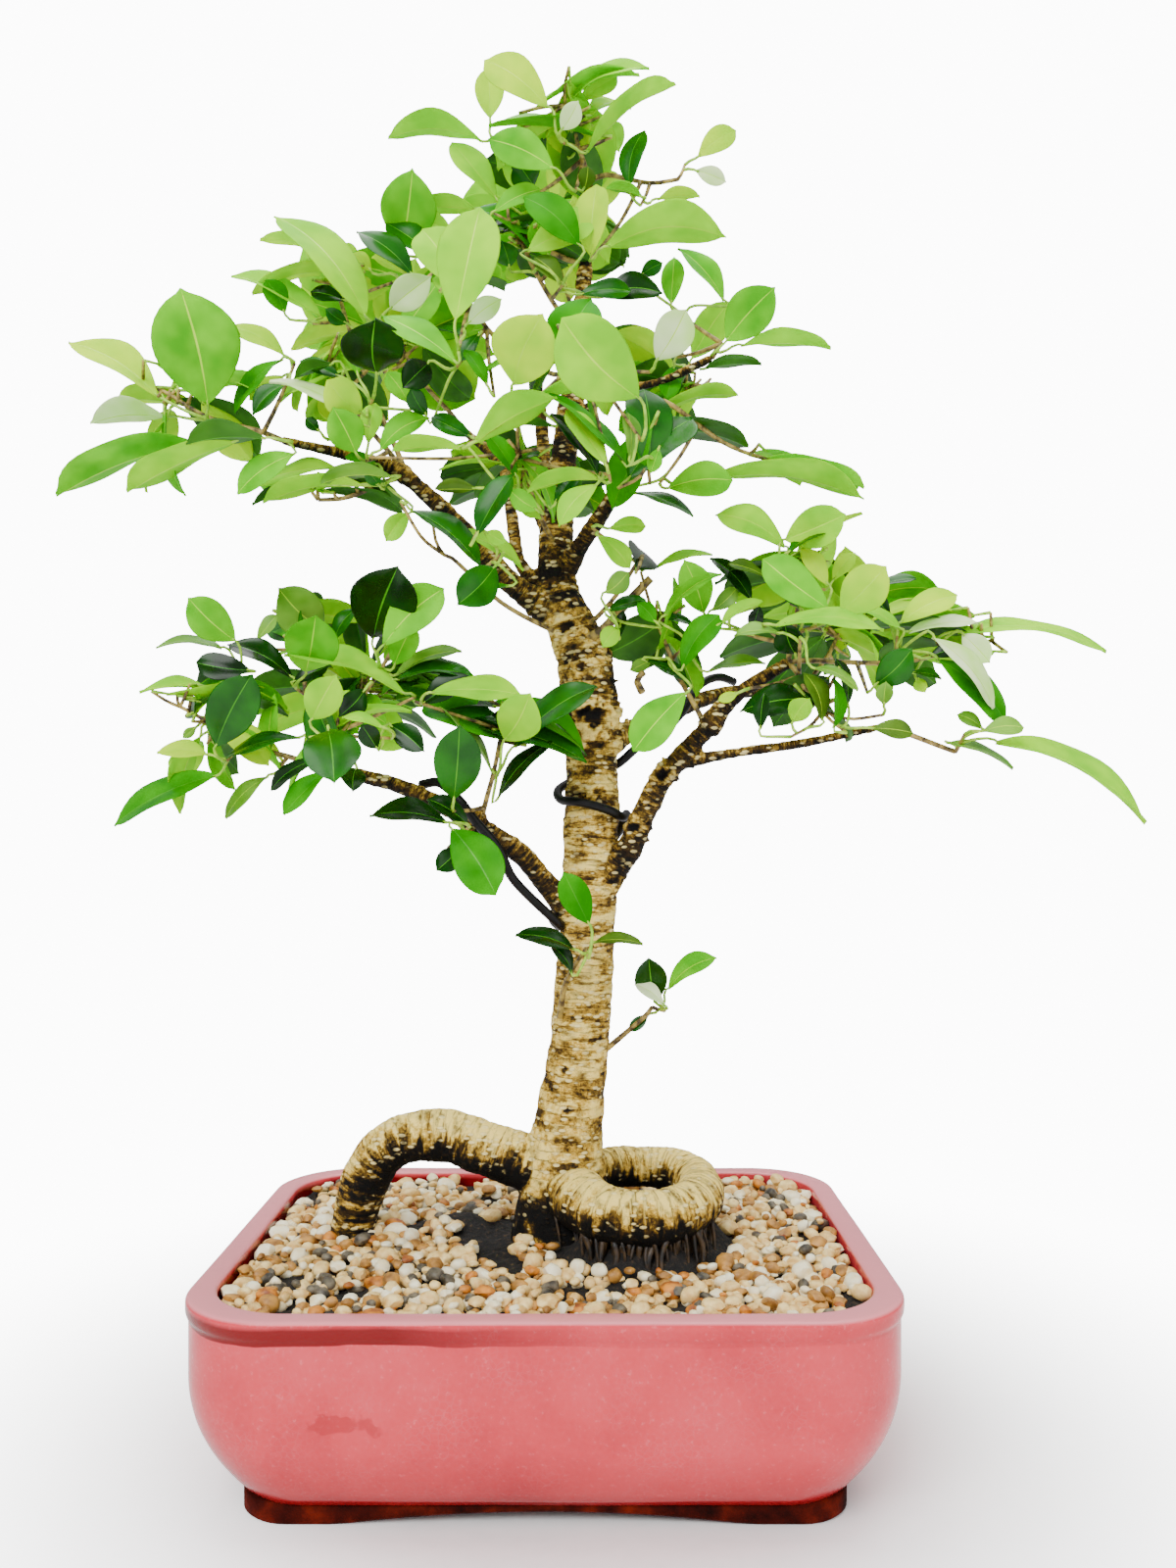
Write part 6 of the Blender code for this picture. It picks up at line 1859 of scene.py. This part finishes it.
class BONSAI_OT_stage(bpy.types.Operator):
    """Set the floor, the studio light and the camera"""
    bl_idname = "bonsai.make_stage"
    bl_label = "Stage"

    def execute(self, context):
        settings = context.scene.bonsai_stage
        bpy.ops.mesh.primitive_plane_add(size=FLOOR_SIZE)
        floor = context.object
        floor.name = "studio_floor"
        floor.data.materials.append(matt_paint(settings))
        world = bpy.data.worlds.new("studio")
        world.use_nodes = True
        white = linear("#FFFFFF")
        sky = add(world, "ShaderNodeBackground", {"Color": white, "Strength": DOME_LIGHT * settings.light})
        backdrop = add(world, "ShaderNodeBackground", {"Color": white, "Strength": BACKDROP})
        ray = add(world, "ShaderNodeLightPath").outputs["Is Camera Ray"]
        both = add(world, "ShaderNodeMixShader", {0: ray, 1: sky.outputs[0], 2: backdrop.outputs[0]})
        link(world, both.outputs[0], world.node_tree.nodes["World Output"], "Surface")
        context.scene.world = world
        for name, spot, size, watts in LIGHTS:
            area_light(name, spot, LIGHT_AIM, size, watts * settings.light)
        lens = bpy.data.cameras.new("front")
        lens.sensor_width = SENSOR
        lens.lens = FOCAL_PIXELS * SENSOR / PICTURE_HEIGHT
        lens.shift_y = (HORIZON - PICTURE_HEIGHT / 2.0) / PICTURE_HEIGHT
        camera = bpy.data.objects.new("front", lens)
        camera.location = place(EYE).tolist()
        camera.rotation_euler = (math.pi / 2.0, 0.0, 0.0)
        context.scene.collection.objects.link(camera)
        context.scene.camera = camera
        return {"FINISHED"}


# ---------------------------------------------------------------- add-on

class BONSAI_PT_pieces(bpy.types.Panel):
    """Pieces of the bonsai and their settings"""
    bl_label = "Ficus bonsai"
    bl_idname = "BONSAI_PT_pieces"
    bl_space_type = "VIEW_3D"
    bl_region_type = "UI"
    bl_category = "Bonsai"

    def draw(self, context):
        for operator, group in PIECES:
            box = self.layout.box()
            box.operator(operator.bl_idname)
            settings = getattr(context.scene, group)
            for key in settings.bl_rna.properties.keys():
                if key not in ("rna_type", "name"):
                    box.prop(settings, key)


SETTINGS = {
    "bonsai_pot": BonsaiPotSettings,
    "bonsai_gravel": BonsaiGravelSettings,
    "bonsai_bark": BonsaiBarkSettings,
    "bonsai_foliage": BonsaiFoliageSettings,
    "bonsai_wire": BonsaiWireSettings,
    "bonsai_stage": BonsaiStageSettings,
}
PIECES = [
    (BONSAI_OT_stage, "bonsai_stage"),
    (BONSAI_OT_pot, "bonsai_pot"),
    (BONSAI_OT_gravel, "bonsai_gravel"),
    (BONSAI_OT_bark, "bonsai_bark"),
    (BONSAI_OT_wire, "bonsai_wire"),
    (BONSAI_OT_foliage, "bonsai_foliage"),
]
CLASSES = list(SETTINGS.values()) + [operator for operator, _ in PIECES] + [BONSAI_PT_pieces]


def register():
    for cls in CLASSES:
        bpy.utils.register_class(cls)
    for name, group in SETTINGS.items():
        setattr(bpy.types.Scene, name, PointerProperty(type=group))


def unregister():
    for name in SETTINGS:
        delattr(bpy.types.Scene, name)
    for cls in reversed(CLASSES):
        bpy.utils.unregister_class(cls)


def main():
    register()
    bpy.ops.bonsai.make_stage()
    bpy.ops.bonsai.make_pot()
    bpy.ops.bonsai.make_gravel()
    bpy.ops.bonsai.make_bark()
    bpy.ops.bonsai.make_wire()
    bpy.ops.bonsai.make_foliage()


if __name__ == "__main__":
    main()
